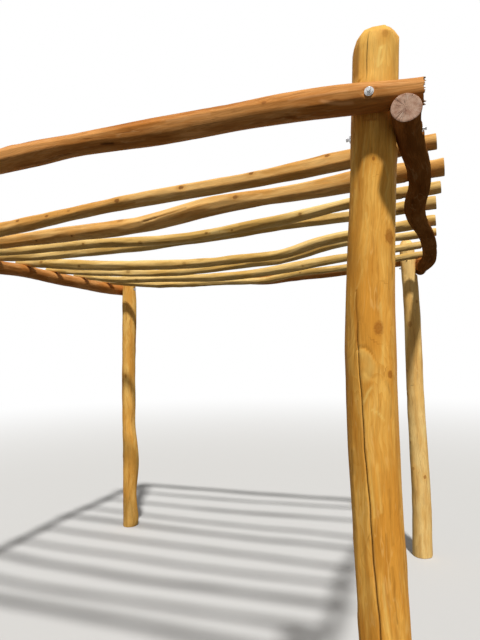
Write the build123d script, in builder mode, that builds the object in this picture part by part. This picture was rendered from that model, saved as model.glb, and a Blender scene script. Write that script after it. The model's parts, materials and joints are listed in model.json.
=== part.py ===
"""Open garden pergola of peeled, naturally crooked logs.

Four posts stand on the ground. A side beam is bolted to the outer face of each
pair of posts, the front and back beams are bolted across the posts and rest on
the ends of the side beams, and eight thin rafters lie across the side beams.

Millimetres, +Z up, the ground at z = 0, the origin midway between the posts.
Left to right is X, front to back is Y.
"""
import math
import os

from build123d import *

os.makedirs("parts", exist_ok=True)

# Driving sizes
bay_width = 2500          # post to post, left to right
bay_depth = 2600          # post to post, front to back
side_beam_height = 2184   # centres of the side beams above the ground
near_post_head = 354      # posts above the side beams' centres
far_post_head = 226

near_post_diameter = 148
far_post_diameter = 128
left_beam_diameter = 98
right_beam_diameter = 84
front_beam_diameter = 88
back_beam_diameter = 88
rafter_diameter = 60

left_beam_overhangs = (120, 120)     # beyond the post centres, front and back
right_beam_overhangs = (158, 150)
cross_overhangs = (48, 46)           # beyond the side beams' centres, left and right

seat_depth = 6            # how far each of two crossing logs is flattened
seat_margin = 5           # room that a flat leaves beyond the crossing log
oval = 0.95               # height of a lying log's section against its width
lumpiness = 0.018         # how far a section strays from its oval, per radius
lump_turn = 50            # degrees that the lumps turn from one section to the next
section_points = 8

rod_diameter = 12
hole_clearance = 1.0      # hole across, over the rod
washer_diameter = 27
washer_thickness = 2.5
nut_across_flats = 19
nut_height = 10
rod_proud = 5             # rod beyond the nut
spot_face_depth = 5
spot_face_margin = 3      # spot face beyond the washer

top_bevel_height = 34
top_bevel_inset = 20
head_tilts = {            # degrees by which each post's sawn head leans to the right
    "near_right_post": -6,
    "near_left_post": 5,
    "far_right_post": -4,
    "far_left_post": 3,
}
end_taper = 0.97          # thickness of a log's end against its last bend
end_rise = 0.6            # how much of its slope a log keeps past its seat


# Natural logs

class Log:
    """A crooked log: stations of (x, y, z, diameter) along its centreline."""

    def __init__(self, stations, side, upright=False):
        self.stations = [tuple(station) for station in stations]
        self.side = side            # direction of the wide axis of its section
        self.upright = upright      # its sections are level, and round

    def plane(self, index):
        """Section plane at a station, square to the run between its neighbours."""
        origin = self.stations[index][:3]
        if self.upright:
            return Plane(origin=origin)
        before = Vector(*self.stations[max(index - 1, 0)][:3])
        after = Vector(*self.stations[min(index + 1, len(self.stations) - 1)][:3])
        return Plane(origin=origin, x_dir=self.side, z_dir=(after - before).normalized())

    def outline(self, index):
        """Points around a section: an oval with three slight lumps."""
        radius = self.stations[index][3] / 2
        flatness = 1 if self.upright else oval
        points = []
        for number in range(section_points):
            angle = 2 * math.pi * number / section_points
            lump = 1 + lumpiness * math.sin(3 * angle + math.radians(lump_turn * index))
            points.append((
                radius * lump * math.cos(angle),
                radius * lump * flatness * math.sin(angle),
            ))
        return points

    def solid(self):
        """The log as a loft through its sections."""
        with BuildPart() as piece:
            for index in range(len(self.stations)):
                with BuildSketch(self.plane(index)):
                    with BuildLine():
                        Spline(*self.outline(index), periodic=True)
                    make_face()
            loft()
        return piece.part


def between(a, b, part):
    """The value part of the way from a to b."""
    return a + (b - a) * part


def station_at(log, place, axis):
    """Centre and diameter of a log where it passes a place along an axis."""
    for a, b in zip(log.stations, log.stations[1:]):
        if a[axis] <= place <= b[axis]:
            part = (place - a[axis]) / (b[axis] - a[axis])
            return [between(p, q, part) for p, q in zip(a, b)]
    return list(log.stations[-1])


def half_height(diameter):
    """Half the height of a lying log's oval section."""
    return diameter / 2 * oval


# Posts

near_post_height = side_beam_height + near_post_head
far_post_height = side_beam_height + far_post_head

# Each post: its side (-1 left, +1 right), its end (-1 front, +1 back), its
# height and diameter, and the bends of its trunk as (part of the height,
# sideways, front-back, thickness), the last three in diameters.
POST_BENDS = {
    "near_right_post": (+1, -1, near_post_height, near_post_diameter, (
        (0.00, 0.04, -0.06, 1.03), (0.08, 0.02, -0.05, 1.02), (0.17, -0.01, -0.04, 1.01),
        (0.28, -0.06, -0.06, 1.00), (0.40, -0.12, -0.08, 0.99), (0.52, -0.15, -0.08, 0.99),
        (0.63, -0.15, -0.07, 1.00), (0.74, -0.08, -0.05, 0.96), (0.83, 0.01, -0.05, 0.93),
        (0.92, 0.09, -0.06, 0.93), (1.00, 0.15, -0.07, 0.92),
    )),
    "near_left_post": (-1, -1, near_post_height, near_post_diameter, (
        (0.00, -0.03, 0.00, 1.04), (0.09, 0.01, 0.02, 1.02), (0.18, 0.05, 0.04, 1.00),
        (0.27, 0.08, 0.04, 1.01), (0.36, 0.09, 0.03, 1.02), (0.46, 0.06, -0.01, 1.00),
        (0.56, 0.02, -0.03, 0.98), (0.66, -0.03, -0.02, 0.96), (0.76, -0.04, 0.01, 0.96),
        (0.86, -0.03, 0.02, 0.94), (1.00, 0.03, 0.04, 0.92),
    )),
    "far_right_post": (+1, +1, far_post_height, far_post_diameter, (
        (0.00, 0.31, 0.29, 1.16), (0.08, 0.34, 0.28, 1.12), (0.16, 0.36, 0.27, 1.09),
        (0.26, 0.34, 0.25, 1.06), (0.36, 0.31, 0.23, 1.03), (0.48, 0.27, 0.24, 1.01),
        (0.60, 0.26, 0.27, 0.98), (0.72, 0.26, 0.29, 0.96), (0.84, 0.21, 0.30, 0.93),
        (0.92, 0.14, 0.29, 0.90), (1.00, 0.05, 0.27, 0.86),
    )),
    "far_left_post": (-1, +1, far_post_height, far_post_diameter, (
        (0.00, 0.11, -0.17, 1.00), (0.08, 0.11, -0.16, 0.97), (0.16, 0.14, -0.16, 0.99),
        (0.25, 0.23, -0.17, 1.12), (0.33, 0.16, -0.20, 0.98), (0.44, 0.11, -0.19, 0.95),
        (0.56, 0.09, -0.17, 0.94), (0.68, 0.15, -0.16, 0.97), (0.80, 0.22, -0.17, 1.04),
        (0.90, 0.22, -0.17, 0.93), (1.00, 0.19, -0.16, 0.88),
    )),
}


def post_log(name):
    """The trunk of a post."""
    side, end, height, diameter, bends = POST_BENDS[name]
    x, y = side * bay_width / 2, end * bay_depth / 2
    stations = []
    for part, dx, dy, thick in bends:
        stations.append((x + dx * diameter, y + dy * diameter, height * part, diameter * thick))
    return Log(stations, side=(1, 0, 0), upright=True)


POSTS = {name: post_log(name) for name in POST_BENDS}


# Side beams

# Where each rafter crosses the left and the right beam, as parts of the bay's
# depth from its middle.
RAFTER_PLACES = (
    (-0.424, -0.418), (-0.296, -0.308), (-0.190, -0.200), (-0.066, -0.094),
    (0.059, 0.046), (0.169, 0.145), (0.295, 0.303), (0.422, 0.449),
)

# How far each side beam strays outwards from the line between its two posts and
# upwards from its height, and its thickness there, in diameters: at the front
# end, the front post, the eight rafters, the back post and the back end.
LEFT_STRAY = (
    (0.04, 0.08, 0.98), (0.00, 0.04, 1.00), (0.30, -0.04, 1.00), (0.34, -0.02, 1.02),
    (0.40, 0.00, 1.00), (0.50, 0.08, 1.02), (0.70, 0.18, 0.96), (0.60, 0.04, 1.00),
    (0.50, -0.04, 1.04), (0.40, -0.14, 1.04), (0.00, -0.18, 1.02), (-0.10, -0.16, 0.98),
)
RIGHT_STRAY = (
    (0.04, 0.52, 0.98), (0.02, 0.52, 0.94), (0.24, 0.32, 0.94), (0.28, 0.26, 0.96),
    (0.02, 0.34, 1.08), (0.04, 0.36, 1.06), (0.46, 0.36, 1.00), (0.66, 0.28, 1.04),
    (0.74, 0.38, 1.10), (0.50, 0.24, 1.20), (0.00, 0.14, 1.14), (-0.10, 0.14, 1.08),
)


def side_beam(side, diameter, stray, overhangs):
    """A side beam, led past the outer faces of its two posts."""
    label, column = ("right", 1) if side > 0 else ("left", 0)
    passes = []
    for post, (_, up, thick) in ((f"near_{label}_post", stray[1]), (f"far_{label}_post", stray[-2])):
        x, y, _, post_width = station_at(POSTS[post], side_beam_height + up * diameter, 2)
        reach = post_width / 2 + diameter * thick / 2 - 2 * seat_depth
        passes.append((x + side * reach, y))
    (x_front, y_front), (x_back, y_back) = passes
    ys = [y_front - overhangs[0], y_front]
    ys += [places[column] * bay_depth for places in RAFTER_PLACES]
    ys += [y_back, y_back + overhangs[1]]
    stations = []
    for y, (out, up, thick) in zip(ys, stray):
        x = between(x_front, x_back, (y - y_front) / (y_back - y_front)) + side * out * diameter
        stations.append((x, y, side_beam_height + up * diameter, diameter * thick))
    return Log(stations, side=(1, 0, 0))


left_log = side_beam(-1, left_beam_diameter, LEFT_STRAY, left_beam_overhangs)
right_log = side_beam(+1, right_beam_diameter, RIGHT_STRAY, right_beam_overhangs)


# Logs across the side beams

def seat_on(beam, y):
    """The flat on top of a side beam at a y: its centre and the beam's diameter."""
    x, _, z, diameter = station_at(beam, y, 1)
    return x, y, z + half_height(diameter) - seat_depth, diameter


def cross_log(left_seat, right_seat, bends, diameter, overhangs):
    """A log that lies on both side beams.

    Its bends are (part of the way from seat to seat, front-back, up, thickness),
    the last three in diameters, from the line between the seats. It runs on past
    its first and last bend, which are the seats, to its two ends.
    """
    start, stop = (
        (x, y, z + half_height(diameter * thick) - seat_depth)
        for (x, y, z, _), (_, _, _, thick) in ((left_seat, bends[0]), (right_seat, bends[-1]))
    )
    stations = []
    for part, dy, up, thick in bends:
        x, y, z = (between(a, b, part) for a, b in zip(start, stop))
        stations.append((x, y + dy * diameter, z + up * diameter, diameter * thick))
    ends = []
    for here, inner, step in (
        (stations[0], stations[1], -overhangs[0]),
        (stations[-1], stations[-2], overhangs[1]),
    ):
        slope = (here[2] - inner[2]) / (here[0] - inner[0])
        ends.append((here[0] + step, here[1], here[2] + end_rise * slope * step, here[3] * end_taper))
    return Log([ends[0], *stations, ends[1]], side=(0, 1, 0))


# Rafters, front to back: thickness in rafter diameters, the runs past the left
# and the right seat in thicknesses, and the bends.
RAFTERS = (
    (1.07, 0.94, 1.00, (
        (0.00, 0.00, 0.00, 1.00), (0.12, 0.05, -0.95, 1.02), (0.26, 0.05, -1.60, 1.00),
        (0.38, 0.03, -1.50, 1.04), (0.48, 0.00, -1.20, 0.92), (0.60, -0.03, -0.86, 0.96),
        (0.72, 0.00, -0.68, 1.00), (0.82, 0.03, -0.51, 0.96), (0.90, 0.00, -0.28, 1.10),
        (1.00, 0.00, 0.00, 0.88),
    )),
    (1.27, 0.80, 1.20, (
        (0.00, 0.00, 0.00, 0.92), (0.12, -0.08, -0.60, 0.96), (0.26, -0.13, -1.00, 0.94),
        (0.40, -0.18, -1.00, 1.02), (0.52, -0.20, -1.05, 1.04), (0.60, -0.20, -0.85, 1.08),
        (0.67, -0.18, -0.50, 1.16), (0.76, -0.13, -0.35, 0.96), (0.88, -0.05, -0.17, 1.08),
        (1.00, 0.00, 0.00, 0.98),
    )),
    (0.92, 1.10, 1.95, (
        (0.00, 0.00, 0.00, 1.00), (0.14, 0.05, -0.75, 0.96), (0.28, 0.10, -1.00, 0.96),
        (0.40, 0.15, -1.15, 0.98), (0.52, 0.15, -1.50, 1.00), (0.62, 0.15, -1.55, 1.00),
        (0.72, 0.10, -1.20, 1.00), (0.80, 0.07, -0.90, 1.02), (0.89, 0.04, -0.35, 0.96),
        (1.00, 0.00, 0.00, 1.02),
    )),
    (1.00, 0.85, 1.50, (
        (0.00, 0.00, 0.00, 0.96), (0.16, 0.03, -0.52, 0.96), (0.30, 0.07, -0.66, 1.00),
        (0.44, 0.07, -0.73, 0.98), (0.56, 0.07, -0.57, 1.00), (0.68, 0.05, -0.42, 1.00),
        (0.80, 0.03, -0.24, 0.98), (0.90, 0.00, -0.26, 0.96), (1.00, 0.00, 0.00, 1.14),
    )),
    (1.10, 1.02, 0.86, (
        (0.00, 0.00, 0.00, 0.90), (0.12, 0.18, -0.50, 1.18), (0.24, 0.30, -1.05, 1.10),
        (0.38, 0.40, -1.45, 1.06), (0.52, 0.40, -1.70, 0.94), (0.64, 0.36, -1.62, 0.90),
        (0.71, 0.30, -1.52, 0.96), (0.77, 0.20, -0.95, 1.02), (0.87, 0.12, -0.42, 0.94),
        (1.00, 0.00, 0.00, 1.00),
    )),
    (0.87, 1.15, 0.88, (
        (0.00, 0.00, 0.00, 0.90), (0.10, 0.08, -0.66, 1.00), (0.22, 0.15, -1.30, 1.02),
        (0.36, 0.20, -1.86, 1.00), (0.48, 0.23, -1.88, 1.00), (0.60, 0.23, -1.64, 1.02),
        (0.70, 0.20, -1.30, 1.00), (0.77, 0.15, -0.56, 1.00), (0.84, 0.08, -0.04, 0.98),
        (0.92, 0.04, -0.10, 0.98), (1.00, 0.00, 0.00, 1.00),
    )),
    (1.03, 0.95, 0.66, (
        (0.00, 0.00, 0.00, 0.84), (0.10, 0.00, -0.77, 0.86), (0.24, 0.00, -1.26, 0.90),
        (0.36, -0.03, -1.58, 0.92), (0.46, -0.06, -1.74, 1.14), (0.53, -0.06, -1.72, 1.08),
        (0.64, -0.03, -1.37, 1.20), (0.76, 0.00, -0.84, 1.08), (0.88, 0.00, -0.39, 0.90),
        (1.00, 0.00, 0.00, 0.82),
    )),
    (0.90, 2.00, 0.74, (
        (0.00, 0.00, 0.00, 0.90), (0.12, 0.00, -0.86, 0.94), (0.26, -0.04, -1.46, 1.00),
        (0.42, -0.04, -1.66, 1.06), (0.56, -0.04, -1.82, 0.98), (0.68, -0.04, -1.14, 1.00),
        (0.80, 0.00, -0.90, 1.00), (0.90, 0.00, -0.37, 1.00), (1.00, 0.00, 0.00, 1.00),
    )),
)

# Every log across the side beams: its name, its log and its two seats.
CROSS_LOGS = []
for number, (places, (thick, left_run, right_run, bends)) in enumerate(zip(RAFTER_PLACES, RAFTERS), 1):
    diameter = thick * rafter_diameter
    seats = (
        seat_on(left_log, places[0] * bay_depth),
        seat_on(right_log, places[1] * bay_depth),
    )
    log = cross_log(*seats, bends, diameter, (left_run * diameter, right_run * diameter))
    CROSS_LOGS.append((f"rafter_{number}", log, seats))

# Front and back beams: bends as for the rafters.
FRONT_BENDS = (
    (0.00, 0.00, 0.00, 0.98), (0.045, 0.00, 0.03, 1.00), (0.16, 0.04, 0.25, 1.02),
    (0.30, 0.09, 0.38, 1.02), (0.42, 0.11, 0.43, 1.02), (0.54, 0.09, 0.50, 1.02),
    (0.66, 0.07, 0.45, 0.98), (0.76, 0.04, 0.35, 1.02), (0.86, 0.02, 0.30, 1.00),
    (0.96, 0.00, 0.10, 1.00), (1.00, 0.00, 0.00, 0.90),
)
BACK_BENDS = (
    (0.00, 0.00, 0.00, 1.00), (0.035, 0.00, 0.00, 1.00), (0.16, 0.03, -0.24, 1.02),
    (0.30, 0.06, -0.32, 0.98), (0.44, 0.07, -0.57, 1.00), (0.58, 0.07, -0.69, 1.02),
    (0.70, 0.06, -0.56, 1.00), (0.80, 0.03, -0.40, 0.98), (0.90, 0.01, -0.11, 1.00),
    (0.965, 0.00, -0.02, 1.00), (1.00, 0.00, 0.00, 1.00),
)


def end_beam(end, diameter, bends, posts):
    """The front or the back beam, led past the outer faces of its two posts."""
    seats = []
    for post, beam in zip(posts, (left_log, right_log)):
        height = beam.stations[1][2] + beam.stations[1][3] / 2 + diameter / 2
        _, y, _, post_width = station_at(POSTS[post], height, 2)
        reach = post_width / 2 + diameter / 2 - 2 * seat_depth
        seats.append(seat_on(beam, y + end * reach))
    return cross_log(*seats, bends, diameter, cross_overhangs), seats


front_log, front_seats = end_beam(
    -1, front_beam_diameter, FRONT_BENDS, ("near_left_post", "near_right_post"))
back_log, back_seats = end_beam(
    +1, back_beam_diameter, BACK_BENDS, ("far_left_post", "far_right_post"))
CROSS_LOGS.append(("front_beam", front_log, front_seats))
CROSS_LOGS.append(("back_beam", back_log, back_seats))


# Joints between beams and posts

class Joint:
    """A threaded rod through a beam and a post, square to the flat between them.

    Places along its axis count from the post's centre towards the beam: the
    flat between the two logs, and the spot faces on the beam and on the post.
    """

    def __init__(self, post, beam, axis, beam_station):
        self.post = post
        self.beam = beam
        self.axis = axis
        x, y, z, diameter = beam_station
        post_x, post_y, _, post_width = station_at(POSTS[post], z, 2)
        self.along_x = bool(axis[0])
        self.name = post.removesuffix("_post") + ("_side" if self.along_x else "_end")
        self.centre = (post_x, post_y, z)
        run = (x - post_x) * axis[0] + (y - post_y) * axis[1]
        self.face = (post_width / 2 + run - diameter / 2) / 2
        self.outer = run + diameter / 2 - spot_face_depth
        self.inner = -post_width / 2 + spot_face_depth
        self.post_width = post_width
        self.beam_width = diameter

    def plane(self, place, outward=1):
        """Plane square to the rod at a place along its axis."""
        axis = Vector(*self.axis)
        return Plane(origin=Vector(*self.centre) + axis * place, z_dir=axis * outward)

    def flatten(self, on_beam):
        """Flatten the log being built where the joint presses it."""
        reach = self.post_width if on_beam else self.beam_width
        middle = self.face - reach / 2 if on_beam else self.face + reach / 2
        across = self.post_width + 2 * seat_margin if on_beam else 2 * self.post_width
        tall = 2 * self.beam_width if on_beam else self.beam_width + 2 * seat_margin
        size = (reach, across, tall) if self.along_x else (across, reach, tall)
        with Locations(self.plane(middle).origin):
            Box(*size, mode=Mode.SUBTRACT)

    def drill(self, on_beam):
        """Hole and spot face of the joint, in the log being built."""
        with Locations(self.plane((self.outer + self.inner) / 2)):
            Cylinder(
                (rod_diameter + hole_clearance) / 2,
                self.outer - self.inner + 4 * spot_face_depth,
                mode=Mode.SUBTRACT,
            )
        with Locations(self.plane(self.outer) if on_beam else self.plane(self.inner, -1)):
            Cylinder(
                washer_diameter / 2 + spot_face_margin, 4 * spot_face_depth,
                align=(Align.CENTER, Align.CENTER, Align.MIN), mode=Mode.SUBTRACT,
            )


def side_joint(post, beam, log, index, side):
    """Joint of a side beam with a post, along X, at a station of the beam."""
    return Joint(post, beam, (side, 0, 0), log.stations[index])


def end_joint(post, beam, log, index, end):
    """Joint of the front or back beam with a post, along Y."""
    post_x = station_at(POSTS[post], log.stations[index][2], 2)[0]
    return Joint(post, beam, (0, end, 0), station_at(log, post_x, 0))


joints = (
    side_joint("near_left_post", "left_beam", left_log, 1, -1),
    side_joint("far_left_post", "left_beam", left_log, -2, -1),
    side_joint("near_right_post", "right_beam", right_log, 1, +1),
    side_joint("far_right_post", "right_beam", right_log, -2, +1),
    end_joint("near_left_post", "front_beam", front_log, 2, -1),
    end_joint("near_right_post", "front_beam", front_log, -3, -1),
    end_joint("far_left_post", "back_beam", back_log, 2, +1),
    end_joint("far_right_post", "back_beam", back_log, -3, +1),
)


def fit_joints(name):
    """Flats, holes and spot faces on the post or beam being built."""
    for joint in joints:
        if name in (joint.post, joint.beam):
            on_beam = name == joint.beam
            joint.flatten(on_beam)
            joint.drill(on_beam)


def flatten_top(seat, width):
    """Flatten a side beam's top under a log of a given width."""
    x, y, z, across = seat
    with Locations((x, y, z)):
        Box(
            2 * across, width + 2 * seat_margin, across,
            align=(Align.CENTER, Align.CENTER, Align.MIN), mode=Mode.SUBTRACT,
        )


def flatten_underside(seat, width):
    """Flatten the underside of a log of a given width over a side beam."""
    x, y, z, across = seat
    with Locations((x, y, z)):
        Box(
            across + 2 * seat_margin, 2 * width, width,
            align=(Align.CENTER, Align.CENTER, Align.MAX), mode=Mode.SUBTRACT,
        )


def keep(part, name):
    """Label a finished piece and write its file."""
    part.label = name
    export_step(part, f"parts/{name}.step")


# Make and write the posts

def head_form(log, tilt):
    """A tall cone-topped form that cuts a post's head and bevels its edge."""
    x, y, height, diameter = log.stations[-1]
    flat = diameter / 2 - top_bevel_inset
    reach = 6 * diameter
    drop = (reach - flat) * top_bevel_height / top_bevel_inset
    with BuildPart() as form:
        with BuildSketch(Plane.XZ):
            with BuildLine():
                Polyline(
                    (0, -2 * height), (reach, -2 * height), (reach, -drop), (flat, 0), (0, 0),
                    close=True,
                )
            make_face()
        revolve(axis=Axis.Z)
    return Pos(x, y, height) * Rot(0, tilt, 0) * form.part


for name, log in POSTS.items():
    with BuildPart() as post:
        add(log.solid())
        add(head_form(log, head_tilts[name]), mode=Mode.INTERSECT)
        fit_joints(name)
    keep(post.part, name)


# Make and write the side beams

for name, log, side in (("left_beam", left_log, 0), ("right_beam", right_log, 1)):
    with BuildPart() as beam:
        add(log.solid())
        fit_joints(name)
        for _, cross, seats in CROSS_LOGS:
            seat_width = cross.stations[-2 if side else 1][3]
            flatten_top(seats[side], seat_width)
    keep(beam.part, name)


# Make and write the rafters and the front and back beams

for name, log, seats in CROSS_LOGS:
    with BuildPart() as cross:
        add(log.solid())
        fit_joints(name)
        for seat in seats:
            flatten_underside(seat, log.stations[1][3])
    keep(cross.part, name)


# Make and write the through bolts: a threaded rod with a washer and a nut at
# each end, tightened and so one piece

def rod_end(seat):
    """A washer, a hexagon nut and the rod's end, from a spot face outwards."""
    with BuildPart() as piece:
        with BuildSketch(seat):
            Circle(washer_diameter / 2)
        extrude(amount=washer_thickness)
        with BuildSketch(seat.offset(washer_thickness)):
            RegularPolygon(nut_across_flats / 2, 6, major_radius=False)
        extrude(amount=nut_height)
        with BuildSketch(seat.offset(washer_thickness + nut_height)):
            Circle(rod_diameter / 2)
        extrude(amount=rod_proud)
    return piece.part


for joint in joints:
    with BuildPart() as bolt:
        with BuildSketch(joint.plane(joint.inner)):
            Circle(rod_diameter / 2)
        extrude(amount=joint.outer - joint.inner)
        add(rod_end(joint.plane(joint.outer)))
        add(rod_end(joint.plane(joint.inner, -1)))
    keep(bolt.part, f"bolt_{joint.name}")
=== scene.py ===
"""Finished look of an open garden pergola built from peeled, crooked logs.

Metres, +Z up, the ground at z = 0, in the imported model's own frame. Every log
gets a finished skin read from its solid, with lumps, knots, drying cracks and
sawn ends, and every through bolt gets washers, nuts and threads.
"""
import json
import logging
import math
from dataclasses import dataclass, field, replace
from enum import Enum, IntEnum

import bpy
import numpy as np
from mathutils import Matrix, Vector
from mathutils.bvhtree import BVHTree
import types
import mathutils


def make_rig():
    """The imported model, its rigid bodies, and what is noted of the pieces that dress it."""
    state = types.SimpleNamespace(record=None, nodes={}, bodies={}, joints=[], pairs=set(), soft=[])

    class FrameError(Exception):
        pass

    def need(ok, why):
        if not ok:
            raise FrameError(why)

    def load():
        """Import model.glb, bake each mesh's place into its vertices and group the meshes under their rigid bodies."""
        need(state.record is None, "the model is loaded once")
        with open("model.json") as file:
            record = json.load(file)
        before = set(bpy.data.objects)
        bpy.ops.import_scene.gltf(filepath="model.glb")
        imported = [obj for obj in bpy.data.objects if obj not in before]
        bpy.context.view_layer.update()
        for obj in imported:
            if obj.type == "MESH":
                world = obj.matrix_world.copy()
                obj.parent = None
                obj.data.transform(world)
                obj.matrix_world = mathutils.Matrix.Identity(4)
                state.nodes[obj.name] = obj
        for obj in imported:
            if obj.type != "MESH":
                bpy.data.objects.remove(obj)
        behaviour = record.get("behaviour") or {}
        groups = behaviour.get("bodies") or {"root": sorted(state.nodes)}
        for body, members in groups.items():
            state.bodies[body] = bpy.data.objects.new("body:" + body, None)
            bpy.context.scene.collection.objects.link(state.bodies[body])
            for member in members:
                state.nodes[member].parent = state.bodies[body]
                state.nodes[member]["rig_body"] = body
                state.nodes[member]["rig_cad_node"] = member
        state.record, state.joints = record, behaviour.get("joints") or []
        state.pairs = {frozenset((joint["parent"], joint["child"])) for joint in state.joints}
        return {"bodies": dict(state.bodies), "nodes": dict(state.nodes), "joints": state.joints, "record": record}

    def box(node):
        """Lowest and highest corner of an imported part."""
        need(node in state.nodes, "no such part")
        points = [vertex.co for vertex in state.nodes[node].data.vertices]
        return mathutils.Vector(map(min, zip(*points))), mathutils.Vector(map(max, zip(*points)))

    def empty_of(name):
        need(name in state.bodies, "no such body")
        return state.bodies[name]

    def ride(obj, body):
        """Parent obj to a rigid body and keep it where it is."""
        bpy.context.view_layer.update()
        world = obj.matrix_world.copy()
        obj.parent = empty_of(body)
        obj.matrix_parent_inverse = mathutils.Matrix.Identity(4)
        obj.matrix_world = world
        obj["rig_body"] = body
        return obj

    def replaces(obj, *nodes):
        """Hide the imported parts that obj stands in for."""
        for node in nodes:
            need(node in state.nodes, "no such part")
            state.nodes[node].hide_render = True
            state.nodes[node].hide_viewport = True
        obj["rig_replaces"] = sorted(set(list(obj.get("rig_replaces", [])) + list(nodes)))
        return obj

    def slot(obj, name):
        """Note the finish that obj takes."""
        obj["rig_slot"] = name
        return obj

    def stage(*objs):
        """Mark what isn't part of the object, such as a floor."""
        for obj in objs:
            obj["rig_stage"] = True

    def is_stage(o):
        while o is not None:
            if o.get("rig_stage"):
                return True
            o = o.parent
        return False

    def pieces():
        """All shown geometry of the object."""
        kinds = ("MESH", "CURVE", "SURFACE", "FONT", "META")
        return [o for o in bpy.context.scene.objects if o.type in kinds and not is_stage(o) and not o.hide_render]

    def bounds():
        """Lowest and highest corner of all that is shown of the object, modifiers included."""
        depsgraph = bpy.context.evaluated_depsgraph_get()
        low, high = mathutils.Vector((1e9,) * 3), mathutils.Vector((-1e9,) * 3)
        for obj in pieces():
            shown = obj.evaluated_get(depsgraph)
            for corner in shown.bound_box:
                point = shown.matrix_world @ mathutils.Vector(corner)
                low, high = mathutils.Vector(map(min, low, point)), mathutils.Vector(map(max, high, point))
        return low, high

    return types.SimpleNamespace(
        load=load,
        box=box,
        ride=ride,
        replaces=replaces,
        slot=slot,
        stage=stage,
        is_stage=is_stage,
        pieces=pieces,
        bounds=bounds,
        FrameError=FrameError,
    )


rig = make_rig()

log = logging.getLogger("pergola")

Colour = tuple[float, float, float, float]
Point = tuple[float, float, float]
Socket = bpy.types.NodeSocket
Value = Socket | float

FULL_TURN = 2 * math.pi
FLAT = (1, 1, 0)             # keeps only what lies across a log
NOWHERE = 9.0                # farther than any knot or mark reaches


class Draw(IntEnum):
    """What is added to a log's seed, so that its separate draws differ."""

    ENDS = 7
    KNOTS = 50
    FACETS = 90
    MARKS = 130


class Run(Enum):
    """The direction in which a log runs: its index among X, Y and Z."""

    ACROSS = 0
    ALONG = 1
    UPRIGHT = 2


# Node trees

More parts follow.
